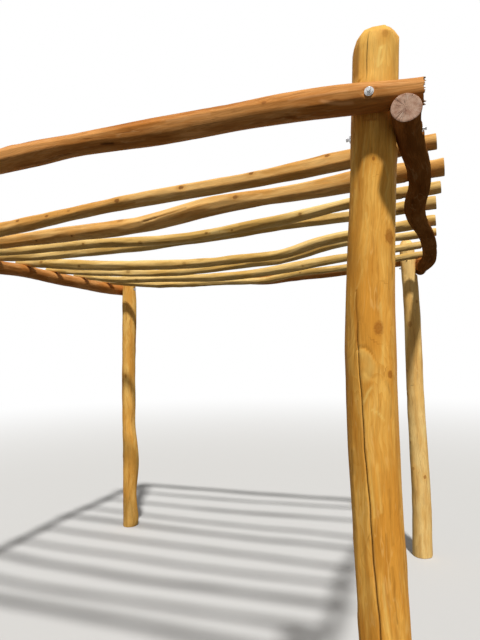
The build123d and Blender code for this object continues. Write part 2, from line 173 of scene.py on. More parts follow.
class Tree:
    """Adds and joins the nodes of one node tree."""

    def __init__(self, tree: bpy.types.NodeTree) -> None:
        """Keep the tree that the nodes go into."""
        self.tree = tree

    def feed(self, node: bpy.types.Node, inputs: dict) -> None:
        """Set a node's inputs to values or to other nodes' sockets, by name or number."""
        for key, value in inputs.items():
            if isinstance(value, Socket):
                self.tree.links.new(value, node.inputs[key])
            else:
                node.inputs[key].default_value = value

    def node(self, kind: str, inputs: dict | None = None, **settings) -> bpy.types.Node:
        """Add a node.

        Args:
            kind: The node's type.
            inputs: Values or sockets for its inputs, by name or number.
            settings: Its other properties.

        Returns:
            The new node.
        """
        node = self.tree.nodes.new(kind)
        for key, value in settings.items():
            setattr(node, key, value)
        self.feed(node, inputs or {})
        return node

    def group(self, name: str, inputs: dict) -> dict[str, Socket]:
        """Place a shared group and return its outputs by name."""
        node = self.node("ShaderNodeGroup", inputs, node_tree=bpy.data.node_groups[name])
        return {socket.name: socket for socket in node.outputs}

    def math(self, operation: str, *values: Value, clamp: bool = False) -> Socket:
        """Add a Math node and return its result."""
        inputs = dict(enumerate(values))
        return self.node("ShaderNodeMath", inputs, operation=operation, use_clamp=clamp).outputs[0]

    def times(self, a: Value, b: Value, clamp: bool = False) -> Socket:
        """Multiply two values."""
        return self.math("MULTIPLY", a, b, clamp=clamp)

    def plus(self, a: Value, b: Value) -> Socket:
        """Add two values."""
        return self.math("ADD", a, b)

    def minus(self, a: Value, b: Value) -> Socket:
        """Subtract a value from another."""
        return self.math("SUBTRACT", a, b)

    def off_half(self, value: Value) -> Socket:
        """How far a value is from 0.5, the middle of a noise."""
        return self.math("ABSOLUTE", self.minus(value, 0.5))

    def vector(self, x: Value = 0.0, y: Value = 0.0, z: Value = 0.0) -> Socket:
        """Join three values into a vector."""
        return self.node("ShaderNodeCombineXYZ", {0: x, 1: y, 2: z}).outputs[0]

    def parts(self, vector: Socket) -> bpy.types.NodeOutputs:
        """Split a vector into its three values."""
        return self.node("ShaderNodeSeparateXYZ", {0: vector}).outputs

    def moved(self, vector: Socket, shift: Socket) -> Socket:
        """Add two vectors."""
        return self.node("ShaderNodeVectorMath", {0: vector, 1: shift}).outputs[0]

    def stretch(self, vector: Socket, factors: Point) -> Socket:
        """Multiply a vector by one factor for each axis."""
        inputs = {0: vector, 1: factors}
        return self.node("ShaderNodeVectorMath", inputs, operation="MULTIPLY").outputs[0]

    def stretch_onto(self, vector: Socket, factors: Point, base: Socket) -> Socket:
        """Multiply a vector by one factor for each axis and add it to another."""
        inputs = {0: vector, 1: factors, 2: base}
        return self.node("ShaderNodeVectorMath", inputs, operation="MULTIPLY_ADD").outputs[0]

    def length(self, vector: Socket) -> Socket:
        """Length of a vector."""
        return self.node("ShaderNodeVectorMath", {0: vector}, operation="LENGTH").outputs["Value"]

    def noise(self, vector: Socket, scale: float, detail: float = 2, rough: float = 0.5,
              output: int = 0) -> Socket:
        """Add smooth noise and return its value, about 0.5, or its colour as output 1."""
        inputs = {"Vector": vector, "Scale": scale, "Detail": detail, "Roughness": rough}
        return self.node("ShaderNodeTexNoise", inputs).outputs[output]

    def fibres(self, vector: Socket, share: float, scale: float, detail: float = 2,
               rough: float = 0.5) -> Socket:
        """Noise drawn out along the log: the smaller the share, the longer it runs."""
        return self.noise(self.stretch(vector, (1, 1, share)), scale, detail, rough)

    def ramp(self, value: Socket, low: Value, high: Value, bottom: float = 0.0,
             top: float = 1.0) -> Socket:
        """Map a value smoothly from a range to another, clamped."""
        inputs = {"Value": value, 1: low, 2: high, 3: bottom, 4: top}
        return self.node("ShaderNodeMapRange", inputs, interpolation_type="SMOOTHSTEP").outputs[0]

    def mix(self, factor: Value, a: Socket | Colour, b: Socket | Colour, blend: str = "MIX") -> Socket:
        """Mix two colours."""
        inputs = {0: factor, 6: a, 7: b}
        return self.node("ShaderNodeMix", inputs, data_type="RGBA", blend_type=blend).outputs[2]

    def attribute(self, name: str, output: str = "Vector") -> Socket:
        """Read one of the mesh's own attributes."""
        return self.node("ShaderNodeAttribute", attribute_name=name).outputs[output]

    def cone(self, sides: int, top: Value, bottom: Value, height: Value) -> Socket:
        """Add a cut-off cone, by the radii of its top and bottom."""
        return self.node("GeometryNodeMeshCone", {
            "Vertices": sides, "Radius Top": top, "Radius Bottom": bottom, "Depth": height,
        }).outputs[0]

    def circle(self, points: int, radius: Value) -> Socket:
        """Add a round curve."""
        return self.node("GeometryNodeCurvePrimitiveCircle", {
            "Resolution": points, "Radius": radius}).outputs[0]

    def lift(self, geometry: Socket, height: Value) -> Socket:
        """Move a mesh up by a height."""
        return self.node("GeometryNodeTransform", {
            "Geometry": geometry, "Translation": self.vector(z=height)}).outputs[0]

    def join(self, *parts: Socket) -> Socket:
        """Join several meshes into one."""
        whole = self.node("GeometryNodeJoinGeometry")
        for part in parts:
            self.tree.links.new(part, whole.inputs[0])
        return whole.outputs[0]


def shader_group(name: str, inputs: dict, outputs: dict) -> tuple[Tree, dict, bpy.types.Node]:
    """Start a shader node group.

    Args:
        name: Its name.
        inputs: Socket types and default values by name.
        outputs: Socket types by name.

    Returns:
        Its tree, its inputs' sockets by name, and its output node.
    """
    group = bpy.data.node_groups.new(name, "ShaderNodeTree")
    for label, (kind, value) in inputs.items():
        socket = group.interface.new_socket(label, in_out="INPUT", socket_type=kind)
        if value is not None:
            socket.default_value = value
    for label, kind in outputs.items():
        group.interface.new_socket(label, in_out="OUTPUT", socket_type=kind)
    tree = Tree(group)
    given = {socket.name: socket for socket in tree.node("NodeGroupInput").outputs}
    return tree, given, tree.node("NodeGroupOutput")


def grain_group() -> None:
    """Make the group for the long grain of peeled wood, in a log's own straightened place.

    The growth rings follow a wandering pith and bend round the knots, so that
    the round surface cuts them in long flames.
    """
    tree, given, result = shader_group(
        "long_grain",
        {
            "Place": ("NodeSocketVector", None),
            "Bulge": ("NodeSocketFloat", 0.0),
            "Pale": ("NodeSocketColor", (0.6, 0.4, 0.2, 1)),
            "Middle": ("NodeSocketColor", (0.5, 0.3, 0.1, 1)),
            "Dark": ("NodeSocketColor", (0.2, 0.1, 0.04, 1)),
            "Blotches": ("NodeSocketFloat", 0.5),
            "Streaks": ("NodeSocketFloat", 0.5),
            "Ring Gap": ("NodeSocketFloat", 0.006),
            "Seed": ("NodeSocketFloat", 0.0),
        },
        {"Color": "NodeSocketColor", "Height": "NodeSocketFloat", "Gloss": "NodeSocketFloat"},
    )
    place, seed, middle, dark = (given[name] for name in ("Place", "Seed", "Middle", "Dark"))
    wander, pith_wander, wavy_rings, knot_push = 0.035, 0.05, 0.028, 0.010
    moved = tree.moved(place, tree.vector(x=seed, z=seed))
    swirl = tree.noise(tree.stretch(moved, (1, 1, 0.4)), 12.0, 3.0, output=1)
    bent = tree.stretch_onto(swirl, (wander, wander, 0.0), moved)
    blotch = tree.fibres(bent, 0.22, 13.0, 4, 0.6)
    streak = tree.fibres(bent, 0.06, 60.0, 4, 0.6)
    fibre = tree.fibres(bent, 0.03, 330.0, 3, 0.6)
    pith = tree.noise(tree.vector(y=seed, z=tree.parts(place)[2]), 3.4, 2.0, output=1)
    off_pith = tree.stretch_onto(pith, (pith_wander, pith_wander, 0.0), place)
    radius = tree.length(tree.stretch(off_pith, FLAT))
    lumps = tree.fibres(moved, 0.3, 17.0, 3, 0.55)
    ring_place = tree.math("MULTIPLY_ADD", lumps, wavy_rings, radius)
    ring_place = tree.math("MULTIPLY_ADD", given["Bulge"], knot_push, ring_place)
    ring = tree.math("FRACT", tree.math("DIVIDE", ring_place, given["Ring Gap"]))
    late = tree.math("POWER", ring, 2.2)
    body = tree.mix(tree.times(tree.ramp(blotch, 0.38, 0.62), given["Blotches"]), given["Pale"], middle)
    broad = tree.fibres(bent, 0.11, 26.0, 3, 0.55)
    deep = tree.mix(0.4, middle, dark)
    body = tree.mix(tree.times(tree.ramp(broad, 0.50, 0.66), given["Streaks"]), body, deep)
    ringed = tree.mix(tree.times(late, 0.6), body, middle)
    streaked = tree.mix(tree.times(tree.ramp(streak, 0.50, 0.80), given["Streaks"]), ringed, dark)
    wisp = tree.fibres(bent, 0.10, 46.0, 2, 0.5)
    thin = tree.ramp(tree.off_half(wisp), 0.030, 0.004)
    some = tree.ramp(tree.noise(moved, 8.0, 2), 0.50, 0.64)
    creamy = tree.mix(0.20, given["Pale"], (1.0, 0.80, 0.45, 1))
    wisped = tree.mix(tree.times(tree.times(thin, some), 0.35), streaked, creamy)
    shade = tree.ramp(fibre, 0.3, 0.7, 0.90, 1.08)
    lit = tree.node("ShaderNodeCombineColor", {0: shade, 1: shade, 2: shade}).outputs[0]
    height = tree.plus(tree.times(streak, 0.6), tree.times(fibre, 0.3))
    tree.feed(result, {
        "Color": tree.mix(1.0, wisped, lit, "MULTIPLY"),
        "Height": tree.plus(height, tree.times(late, 0.12)),
        "Gloss": streak,
    })


def knot_group() -> None:
    """Make the group for knots, from a surface's offset to the nearest one."""
    tree, given, result = shader_group(
        "knots",
        {"Offset": ("NodeSocketVector", None), "Place": ("NodeSocketVector", None)},
        dict.fromkeys(("Core", "Halo", "Bulge", "Rings", "Height"), "NodeSocketFloat"),
    )
    strength = tree.parts(given["Offset"])[2]
    even_reach = tree.length(tree.stretch(given["Offset"], FLAT))
    ragged = tree.noise(given["Place"], 90.0, 3, 0.6)
    reach = tree.plus(even_reach, tree.math("MULTIPLY_ADD", ragged, 0.9, -0.45))
    core = tree.times(tree.ramp(reach, 1.05, 0.55), strength)
    rings = tree.math("MULTIPLY_ADD", tree.math("SINE", tree.times(reach, 15.0)), 0.5, 0.5)
    tree.feed(result, {
        "Core": core,
        "Halo": tree.times(tree.ramp(reach, 2.8, 0.7), strength),
        "Bulge": tree.ramp(even_reach, 4.0, 0.0),
        "Rings": rings,
        "Height": tree.times(tree.times(rings, core), 0.5),
    })


def check_group() -> None:
    """Make the group for fine drying cracks along the grain: its mask is 1 in a crack."""
    tree, given, result = shader_group(
        "drying_checks",
        {
            "Place": ("NodeSocketVector", None),
            "Amount": ("NodeSocketFloat", 0.5),
            "Seed": ("NodeSocketFloat", 0.0),
        },
        {"Mask": "NodeSocketFloat"},
    )
    moved = tree.moved(given["Place"], tree.vector(y=given["Seed"], z=given["Seed"]))
    line = tree.fibres(moved, 0.022, 62.0, 2, 0.55)
    where = tree.fibres(moved, 0.25, 9.0)
    some = tree.ramp(where, tree.minus(0.80, tree.times(given["Amount"], 0.3)), 0.85)
    tree.feed(result, {"Mask": tree.times(tree.ramp(tree.off_half(line), 0.012, 0.003), some)})


def end_grain_group() -> None:
    """Make the group for sawn end grain: growth rings round the pith, rays and radial checks."""
    tree, given, result = shader_group(
        "end_grain",
        {
            "Place": ("NodeSocketVector", None),
            "Pale": ("NodeSocketColor", (0.6, 0.4, 0.2, 1)),
            "Dark": ("NodeSocketColor", (0.2, 0.1, 0.04, 1)),
            "Ring Gap": ("NodeSocketFloat", 0.004),
            "Seed": ("NodeSocketFloat", 0.0),
        },
        {"Color": "NodeSocketColor", "Height": "NodeSocketFloat"},
    )
    pale, dark, seed = given["Pale"], given["Dark"], given["Seed"]
    # The radial splits are painted near-black: painted shade inside them.
    bright_wood, split_painted_shade = (0.75, 0.66, 0.55, 1), (0.02, 0.012, 0.008, 1)
    flat = tree.stretch(given["Place"], FLAT)
    moved = tree.moved(flat, tree.vector(x=seed, z=seed))
    wavy = tree.math("MULTIPLY_ADD", tree.noise(moved, 22.0, 2), 0.010, tree.length(flat))
    ring = tree.math("FRACT", tree.math("DIVIDE", wavy, given["Ring Gap"]))
    late = tree.math("POWER", ring, 2.0)
    parts = tree.parts(flat)
    angle = tree.math("ARCTAN2", parts[1], parts[0])
    around = tree.vector(tree.math("SINE", angle), tree.math("COSINE", angle), seed)
    spoke, ray = tree.noise(around, 5.5, 3, 0.6), tree.noise(around, 9.0, 2, 0.6)
    split = tree.times(
        tree.ramp(tree.off_half(spoke), 0.016, 0.004), tree.ramp(tree.noise(moved, 30.0, 1), 0.42, 0.55))
    pale_ray = tree.times(
        tree.ramp(tree.off_half(ray), 0.022, 0.004), tree.ramp(tree.noise(moved, 55.0, 2), 0.44, 0.60))
    fuzz = tree.noise(moved, 420.0, 3, 0.6)
    cloud = tree.noise(moved, 45.0, 3, 0.6)
    body = tree.mix(tree.times(late, 0.45), pale, dark)
    body = tree.mix(tree.ramp(cloud, 0.42, 0.66, 0.0, 0.6), body, dark)
    worn = tree.mix(tree.ramp(fuzz, 0.45, 0.8, 0.0, 0.45), body, dark)
    worn = tree.mix(tree.times(pale_ray, 0.6), worn, bright_wood)
    tree.feed(result, {
        "Color": tree.mix(tree.times(split, 0.85), worn, split_painted_shade),
        "Height": tree.minus(tree.times(fuzz, 0.5), split),
    })


def new_material(name: str) -> tuple[bpy.types.Material, Tree, bpy.types.Node]:
    """Start a material; return it, its tree and its shader."""
    material = bpy.data.materials.new(name)
    material.use_nodes = True
    return material, Tree(material.node_tree), material.node_tree.nodes["Principled BSDF"]


@dataclass(frozen=True)
class WoodFinish:
    """Oiled peeled wood of one tone.

    The colours are linear. The long grain runs along the log.
    """

    name: str
    slot: str
    pale: Colour
    middle: Colour
    dark: Colour
    knot: Colour
    sawn: Colour = (0.47, 0.30, 0.19, 1)
    sawn_dark: Colour = (0.23, 0.12, 0.065, 1)
    blotches: float = 0.9
    streaks: float = 0.5
    checks: float = 0.5
    ring_gap: float = 0.0055
    roughness: float = 0.50
    sawn_roughness: float = 0.8
    gloss: float = 0.03
    seed: float = 0.0
    # near-black painted shade inside the cracks and drying checks
    crack_painted_shade: Colour = (0.055, 0.019, 0.006, 1)

    def tinted(self, colour: Colour, share: float, lift: float = 0.0) -> Colour:
        """A colour made darker or brighter, at most white."""
        return tuple(min(1.0, share * value + lift) for value in colour[:3]) + (1.0,)

    def long_grain(self) -> bpy.types.Material:
        """Material of the log's round surface."""
        material, tree, shader = new_material(self.name)
        place, mark = tree.attribute("place"), tree.attribute("mark", "Fac")
        knots = tree.group("knots", {"Offset": tree.attribute("knot"), "Place": place})
        grain = tree.group("long_grain", {
            "Place": place, "Bulge": knots["Bulge"], "Pale": self.pale, "Middle": self.middle,
            "Dark": self.dark, "Blotches": self.blotches, "Streaks": self.streaks,
            "Ring Gap": self.ring_gap, "Seed": self.seed,
        })
        checks = tree.group("drying_checks", {"Place": place, "Amount": self.checks, "Seed": self.seed})
        ragged = tree.ramp(grain["Gloss"], 0.35, 0.65, 0.5, 1.0)
        wisp = tree.times(tree.times(mark, -1.0, clamp=True), ragged)
        scar = tree.times(tree.times(mark, 1.0, clamp=True), ragged)
        marked = tree.mix(wisp, grain["Color"], self.tinted(self.pale, 1.25, 0.06))
        marked = tree.mix(scar, marked, self.tinted(self.dark, 0.35))
        halo = tree.mix(tree.times(knots["Halo"], 0.55), marked, self.middle)
        ringed = tree.mix(knots["Rings"], self.knot, self.dark)
        knotted = tree.mix(tree.times(knots["Core"], 0.8), halo, ringed)
        # Where the cracks and drying checks lie; there the base colour is the near-black painted shade.
        split = tree.math(
            "MAXIMUM", tree.attribute("crack", "Fac"), tree.times(checks["Mask"], 0.8), clamp=True)
        height = tree.plus(grain["Height"], knots["Height"])
        height = tree.minus(height, tree.times(checks["Mask"], 1.6))
        bump = tree.node("ShaderNodeBump", {"Strength": 0.55, "Distance": 0.0011, "Height": height})
        tree.feed(shader, {
            "Base Color": tree.mix(split, knotted, self.crack_painted_shade),
            "Roughness": tree.ramp(
                grain["Gloss"], 0.3, 0.7, self.roughness - 0.06, self.roughness + 0.10),
            "Normal": bump.outputs[0],
            "Specular IOR Level": self.gloss,
        })
        return material

    def end_grain(self) -> bpy.types.Material:
        """Material of the log's sawn ends."""
        material, tree, shader = new_material(self.name + "_end")
        grain = tree.group("end_grain", {
            "Place": tree.attribute("place"), "Pale": self.sawn, "Dark": self.sawn_dark, "Seed": self.seed,
        })
        bump = tree.node("ShaderNodeBump", {"Strength": 0.6, "Distance": 0.0015, "Height": grain["Height"]})
        tree.feed(shader, {
            "Base Color": grain["Color"], "Normal": bump.outputs[0],
            "Roughness": self.sawn_roughness, "Specular IOR Level": self.gloss,
        })
        return material


@dataclass(frozen=True)
class ZincFinish:
    """Bright zinc plate with a faint spangle."""

    name: str = "zinc"
    tone: Colour = (0.60, 0.60, 0.60, 1.0)
    dull: Colour = (0.36, 0.36, 0.36, 1.0)

    def material(self) -> bpy.types.Material:
        """Material of washers, nuts, rods and screws."""
        material, tree, shader = new_material(self.name)
        spangle = tree.noise(tree.node("ShaderNodeTexCoord").outputs["Object"], 260.0, 3, 0.6)
        tree.feed(shader, {
            "Base Color": tree.mix(tree.ramp(spangle, 0.4, 0.7), self.tone, self.dull),
            "Roughness": tree.ramp(spangle, 0.3, 0.7, 0.28, 0.5),
            "Metallic": 1.0,
        })
        return material


# Shared helpers

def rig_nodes() -> dict[str, bpy.types.Object]:
    """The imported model's objects by node name."""
    return {o["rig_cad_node"]: o for o in bpy.data.objects if "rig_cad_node" in o}


def new_object(name: str, data: bpy.types.ID) -> bpy.types.Object:
    """Make an object and put it in the scene."""
    made = bpy.data.objects.new(name, data)
    bpy.context.scene.collection.objects.link(made)
    return made


def search_tree(mesh: bpy.types.Mesh) -> BVHTree:
    """Search tree of a mesh's faces."""
    points = [vertex.co.copy() for vertex in mesh.vertices]
    return BVHTree.FromPolygons(points, [tuple(face.vertices) for face in mesh.polygons])


def axis_way(axis: int, size: float = 1.0) -> Vector:
    """Vector of a size along X, Y or Z."""
    way = Vector((0, 0, 0))
    way[axis] = size
    return way


def band(low: int, high: int, columns: int) -> list[tuple[int, ...]]:
    """Faces between two rings, from the numbers of the rings' first points."""
    quads = []
    for here in range(columns):
        after = (here + 1) % columns
        quads.append((low + here, low + after, high + after, high + here))
    return quads


def turn_from(angles: np.ndarray, degrees: float) -> np.ndarray:
    """Angles counted from a direction in degrees, half a turn each way."""
    return (angles - math.radians(degrees) + math.pi) % FULL_TURN - math.pi


# Logs

@dataclass(frozen=True)
class Knot:
    """A knot: its place along the log in metres and round it in degrees."""

    along: float
    round: float
    radius: float = 0.014
    swell: float = 0.003
    strength: float = 1.0
    stretch: float = 1.35        # its length along the log, per width
    spread: float = 2.1          # of its swelling, in radii
    dimple: float = 0.35         # depth of the hollow in its middle, per swell
    dimple_spread: float = 0.7   # of that hollow, in radii


@dataclass(frozen=True)
class Crack:
    """A long drying crack: places along the log, round it, and its width there."""

    course: tuple[tuple[float, float, float], ...]
    depth: float = 0.004
    wave: float = 1.0


@dataclass(frozen=True)
class Facet:
    """A flat left by the drawknife: its place, its length and its depth per radius."""

    along: float
    round: float
    half_length: float = 0.3
    depth: float = 0.04


@dataclass(frozen=True)
class Mark:
    """A dark scar (tone above 0) or a pale wisp (below 0) along a course.

    The course is a row of places along the log in metres and round it in degrees.
    """

    course: tuple[tuple[float, float], ...]
    width: float = 0.006
    tone: float = 0.8
    depth: float = 0.0


@dataclass
class LogSkin:
    """The finished surface of one log, read from its solid.

    Its rings of points lie in planes across the log's centreline. Places along
    it count from its low end, and round it from its wide side.
    """

    node: str
    run: Run
    finish: WoodFinish
    seed: int = 1
    columns: int = 48
    row_gap: float = 0.008
    lump: float = 0.012          # depth of the natural lumps, per radius
    edge: float = 0.0022         # rounding of the sawn edges
    scattered_knots: int = 9
    scattered_facets: int = 22
    facet_depth: float = 0.04    # of the deepest scattered flat, per radius
    scattered_marks: int = 10
    ragged: float = 0.0          # depth of the torn fibres at the far end
    section_gap: float = 0.01    # between the sections that give the centreline
    fine_gap: float = 0.004      # most between rows beside an end or a bolt
    end_turn: float = 0.12       # length over which rows turn to lie along the saw cut
    beside_bolt: float = 0.026
    beyond: float = 0.4          # clear of any log's section, from its middle
    reach: float = 0.16          # clear of the log's surface, from its centreline
    past_end: float = 0.3        # clear of the log's end, from near it
    seat_fade: float = 0.03      # free of relief beside a seat
    crack_fade: float = 0.06
    crack_draw: float = 0.25     # length over which points are drawn to a crack past its ends
    crack_pinch: float = 0.9     # share by which the points beside a crack close in on it
    crack_waves: tuple[tuple[float, float], ...] = ((0.012, 23.0), (0.008, 61.0))   # size, rate
    seat_radius: float = 0.019   # of the flat that a washer seats on
    seat_edge: float = 0.003
    depth_of_seat: float = 0.02  # most that a seat is moved
    knots: tuple[Knot, ...] = ()
    cracks: tuple[Crack, ...] = ()
    facets: tuple[Facet, ...] = ()
    marks: tuple[Mark, ...] = ()
    quiet: list[tuple[Vector, Vector]] = field(default_factory=list)
    bolts: list[tuple[Vector, Vector]] = field(default_factory=list)

    def across(self) -> tuple[int, int]:
        """The two axes across the log's run."""
        return {0: (1, 2), 1: (0, 2), 2: (0, 1)}[self.run.value]

    def middle_at(self, solid: BVHTree, guess: Vector) -> Vector | None:
        """Middle of the log's section near a guess.

        Args:
            solid: Search tree of the log.
            guess: A point inside the log, at the wanted place along it.

        Returns:
            The section's middle, or None past the log's ends.
        """
        middle = guess.copy()
        for axis in self.across() * 2:
            way = axis_way(axis)
            low = solid.ray_cast(middle - way * self.beyond, way)[0]
            high = solid.ray_cast(middle + way * self.beyond, -way)[0]
            if low is None or high is None:
                return None
            middle[axis] = (low[axis] + high[axis]) / 2
        return middle

    def centreline(self, solid: BVHTree) -> np.ndarray:
        """Smoothed middles of the log's sections, from one end to the other.

        Args:
            solid: Search tree of the log.

        Returns:
            Points, the section gap apart.
        """
        low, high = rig.box(self.node)
        axis = self.run.value
        count = int((high[axis] - low[axis]) / self.section_gap)
        clear_of_ends = 0.012
        places = np.linspace(low[axis] + clear_of_ends, high[axis] - clear_of_ends, count)
        points = np.full((count, 3), np.nan)
        half = count // 2
        start = self.inside(solid, places[half])
        for order in (range(half, count), range(half, -1, -1)):
            guess = start.copy()
            for number in order:
                guess[axis] = places[number]
                found = self.middle_at(solid, guess)
                if found is None:
                    continue
                points[number] = found
                guess = found.copy()
        points = points[~np.isnan(points[:, 0])]
        width = 9
        kernel = np.hanning(2 * width + 3)[1:-1]
        kernel /= kernel.sum()
        for column in self.across():
            line = points[:, column]
            before = 2 * line[0] - line[width:0:-1]
            after = 2 * line[-1] - line[-2:-width - 2:-1]
            points[:, column] = np.convolve(np.concatenate([before, line, after]), kernel, "valid")
        return points

    def inside(self, solid: BVHTree, place: float) -> Vector:
        """A point inside the log at a place along it.

        Args:
            solid: Search tree of the log.
            place: Its coordinate along X, Y or Z.

        Returns:
            The point.
        """
        low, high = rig.box(self.node)
        first, second = self.across()
        tries, clear, thick = 40, 0.1, 0.03
        up = axis_way(second)
        for step in range(1, tries):
            point = axis_way(self.run.value, place)
            point[second] = high[second] + clear
            point[first] = low[first] + (high[first] - low[first]) * step / tries
            top = solid.ray_cast(point, -up)[0]
            if top is None:
                continue
            point[second] = low[second] - clear
            bottom = solid.ray_cast(point, up)[0]
            if top[second] - bottom[second] > thick:
                point[second] = (top[second] + bottom[second]) / 2
                return point
        raise ValueError(f"no inside point found in {self.node}")

    def end_plane(self, solid: BVHTree, middle: Vector, outward: Vector) -> tuple[Vector, Vector]:
        """Point and outward normal of a sawn end."""
        point, normal = solid.ray_cast(middle + outward * self.past_end, -outward)[:2]
        return point, -normal if normal.dot(outward) < 0 else normal

    def rows(self, solid: BVHTree) -> tuple[np.ndarray, np.ndarray, np.ndarray]:
        """Where the rings of points lie.

        Args:
            solid: Search tree of the log.

        Returns:
            Ring middles, unit directions along the log, and lengths along it.
        """
        line = self.centreline(solid)
        ends = []
        for inner, outer in ((line[4], line[0]), (line[-5], line[-1])):
            outward = Vector(outer - inner).normalized()
            ends.append(self.end_plane(solid, Vector(outer), outward))
        starts = [np.array(point) for point, _ in ends]
        line = np.vstack([starts[0], line, starts[1]])
        steps = np.linalg.norm(np.diff(line, axis=0), axis=1)
        length = np.concatenate([[0], np.cumsum(steps)])
        total = length[-1]
        places = [0.0]
        while places[-1] < total:
            here = places[-1]
            fine = min(here, total - here) < self.fine_end() or self.near_bolt(line, length, here)
            places.append(here + (min(self.row_gap, self.fine_gap) if fine else self.row_gap))
        places = np.array(places[:-1])
        least_last_gap = 0.6 * self.row_gap
        places = places[total - places > least_last_gap]
        places = np.append(places, total)
        places[0], places[-1] = self.edge, total - self.edge
        middles = np.stack([np.interp(places, length, line[:, axis]) for axis in range(3)], axis=1)
        ways = np.gradient(middles, places, axis=0)
        normals = [-np.array(ends[0][1]), np.array(ends[1][1])]
        for number, place in enumerate(places):
            for normal, gap in zip(normals, (place, total - place)):
                share = max(0.0, 1 - gap / self.end_turn)
                ways[number] = ways[number] / np.linalg.norm(ways[number]) * (1 - share) + normal * share
        ways /= np.linalg.norm(ways, axis=1)[:, None]
        return middles, ways, places

    def fine_end(self) -> float:
        """Length of the finer rows at each end."""
        return 0.06 if self.run is Run.UPRIGHT else 0.012

    def near_bolt(self, line: np.ndarray, length: np.ndarray, place: float) -> bool:
        """Whether a place along the log lies beside a through bolt.

        Args:
            line: Points of the centreline.
            length: Length along the log of each of them.
            place: The place, as a length along the log.

        Returns:
            True beside a bolt.
        """
        middle = Vector([float(np.interp(place, length, line[:, axis])) for axis in range(3)])
        for low, high in self.bolts:
            centre = (low + high) / 2
            if abs(middle[self.run.value] - centre[self.run.value]) < self.beside_bolt:
                return True
        return False

    def frame(self, ways: np.ndarray) -> tuple[np.ndarray, np.ndarray]:
        """Two directions across the log at each ring: its wide side and upwards.

        Args:
            ways: Unit direction of the log at each ring.

        Returns:
            Both directions, ring by ring.
        """
        wide = np.zeros(3)
        wide[self.across()[0]] = 1.0
        side = wide - ways * (ways @ wide)[:, None]
        side /= np.linalg.norm(side, axis=1)[:, None]
        rise = np.cross(ways, side)
        flip = rise[:, self.across()[1]] < 0
        rise[flip] *= -1
        return side, rise

    def angles(self, places: np.ndarray) -> np.ndarray:
        """Angle of each point of each ring, drawn together at the cracks.

        Args:
            places: Length along the log of each ring.

        Returns:
            Angles by ring and column.
        """
        even = np.linspace(0, FULL_TURN, self.columns, endpoint=False)
        angles = np.tile(even, (len(places), 1))
        step = FULL_TURN / self.columns
        reach = self.columns // 6
        for crack in self.cracks:
            column, wanted, fade = self.crack_course(crack, places)
            alongs, _, wides = zip(*crack.course)
            widths = np.interp(places, alongs, wides)
            past = np.maximum(alongs[0] - places, places - alongs[-1])
            offset = (wanted - angles[:, column]) * np.clip(1 - past / self.crack_draw, 0, 1)
            for shift in range(-reach, reach + 1):
                share = 1 - abs(shift) / (reach + 1)
                angles[:, (column + shift) % self.columns] += offset * share
                if abs(shift) == 1:
                    pull = np.sign(shift) * (step - widths / self.mean_radius()) * fade
                    angles[:, (column + shift) % self.columns] -= pull * self.crack_pinch
        return angles

    def crack_course(self, crack: Crack, places: np.ndarray) -> tuple[int, np.ndarray, np.ndarray]:
        """Column that a crack uses, its angle at each row, and its depth there.

        Args:
            crack: The crack.
            places: Length along the log of each ring.

        Returns:
            The column, the angles, and the depths from 0 to 1.
        """
        alongs, degrees, _ = zip(*crack.course)
        turns = [math.radians(value) for value in degrees]
        wanted = np.interp(places, alongs, turns)
        wanted = wanted + crack.wave * sum(size * np.sin(places * rate) for size, rate in self.crack_waves)
        middle = (min(turns) + max(turns)) / 2 % FULL_TURN
        column = int(round(middle / FULL_TURN * self.columns)) % self.columns
        even = column * FULL_TURN / self.columns
        wanted = even + (wanted - even + math.pi) % FULL_TURN - math.pi
        fade = np.clip(np.minimum(places - alongs[0], alongs[-1] - places) / self.crack_fade, 0, 1)
        return column, wanted, fade

    def mean_radius(self) -> float:
        """Rough radius of the log."""
        low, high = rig.box(self.node)
        return min(high[axis] - low[axis] for axis in self.across()) / 2

    def distances(self, solid: BVHTree, middles: np.ndarray, side: np.ndarray,
                  rise: np.ndarray, angles: np.ndarray) -> np.ndarray:
        """How far the solid's surface is from each ring's middle.

        Args:
            solid: Search tree of the log.
            middles: Each ring's middle.
            side: Each ring's direction of angle 0.
            rise: Each ring's direction of a quarter turn.
            angles: Angle of each point round the log.

        Returns:
            Distances by ring and column.
        """
        rows, columns = angles.shape
        found = np.full((rows, columns), np.nan)
        for row in range(rows):
            ways = np.cos(angles[row])[:, None] * side[row] + np.sin(angles[row])[:, None] * rise[row]
            middle = Vector(middles[row])
            for column in range(columns):
                way = Vector(ways[column])
                point, _, _, distance = solid.ray_cast(middle + way * self.reach, -way, self.reach)
                if point is not None:
                    found[row, column] = self.reach - distance
        for row in range(rows):
            missing = np.isnan(found[row])
            if missing.any() and not missing.all():
                known = np.flatnonzero(~missing)
                found[row] = np.interp(
                    np.arange(columns), known, found[row][known], period=columns)
        return found

    def lumps(self, angles: np.ndarray, places: np.ndarray) -> np.ndarray:
        """Natural unevenness: slow lumps and the long flats of a drawknife.

        Args:
            angles: Angle of each point round the log.
            places: Length along the log of each ring.

        Returns:
            Relief in metres by ring and column.
        """
        rng = np.random.default_rng(self.seed)
        total = np.zeros_like(angles)
        slow = (16, (0, 4), (0.14, 0.7), 1.0)
        flats = (14, (5, 12), (0.25, 1.4), 0.4)
        for count, turn_range, wave_range, share in (slow, flats):
            for _ in range(count):
                turns = rng.integers(*turn_range)
                wave = rng.uniform(*wave_range)
                phase = rng.uniform(0, FULL_TURN)
                total += share * np.cos(turns * angles + FULL_TURN * places[:, None] / wave + phase) / 4
        return total * self.lump * self.mean_radius()

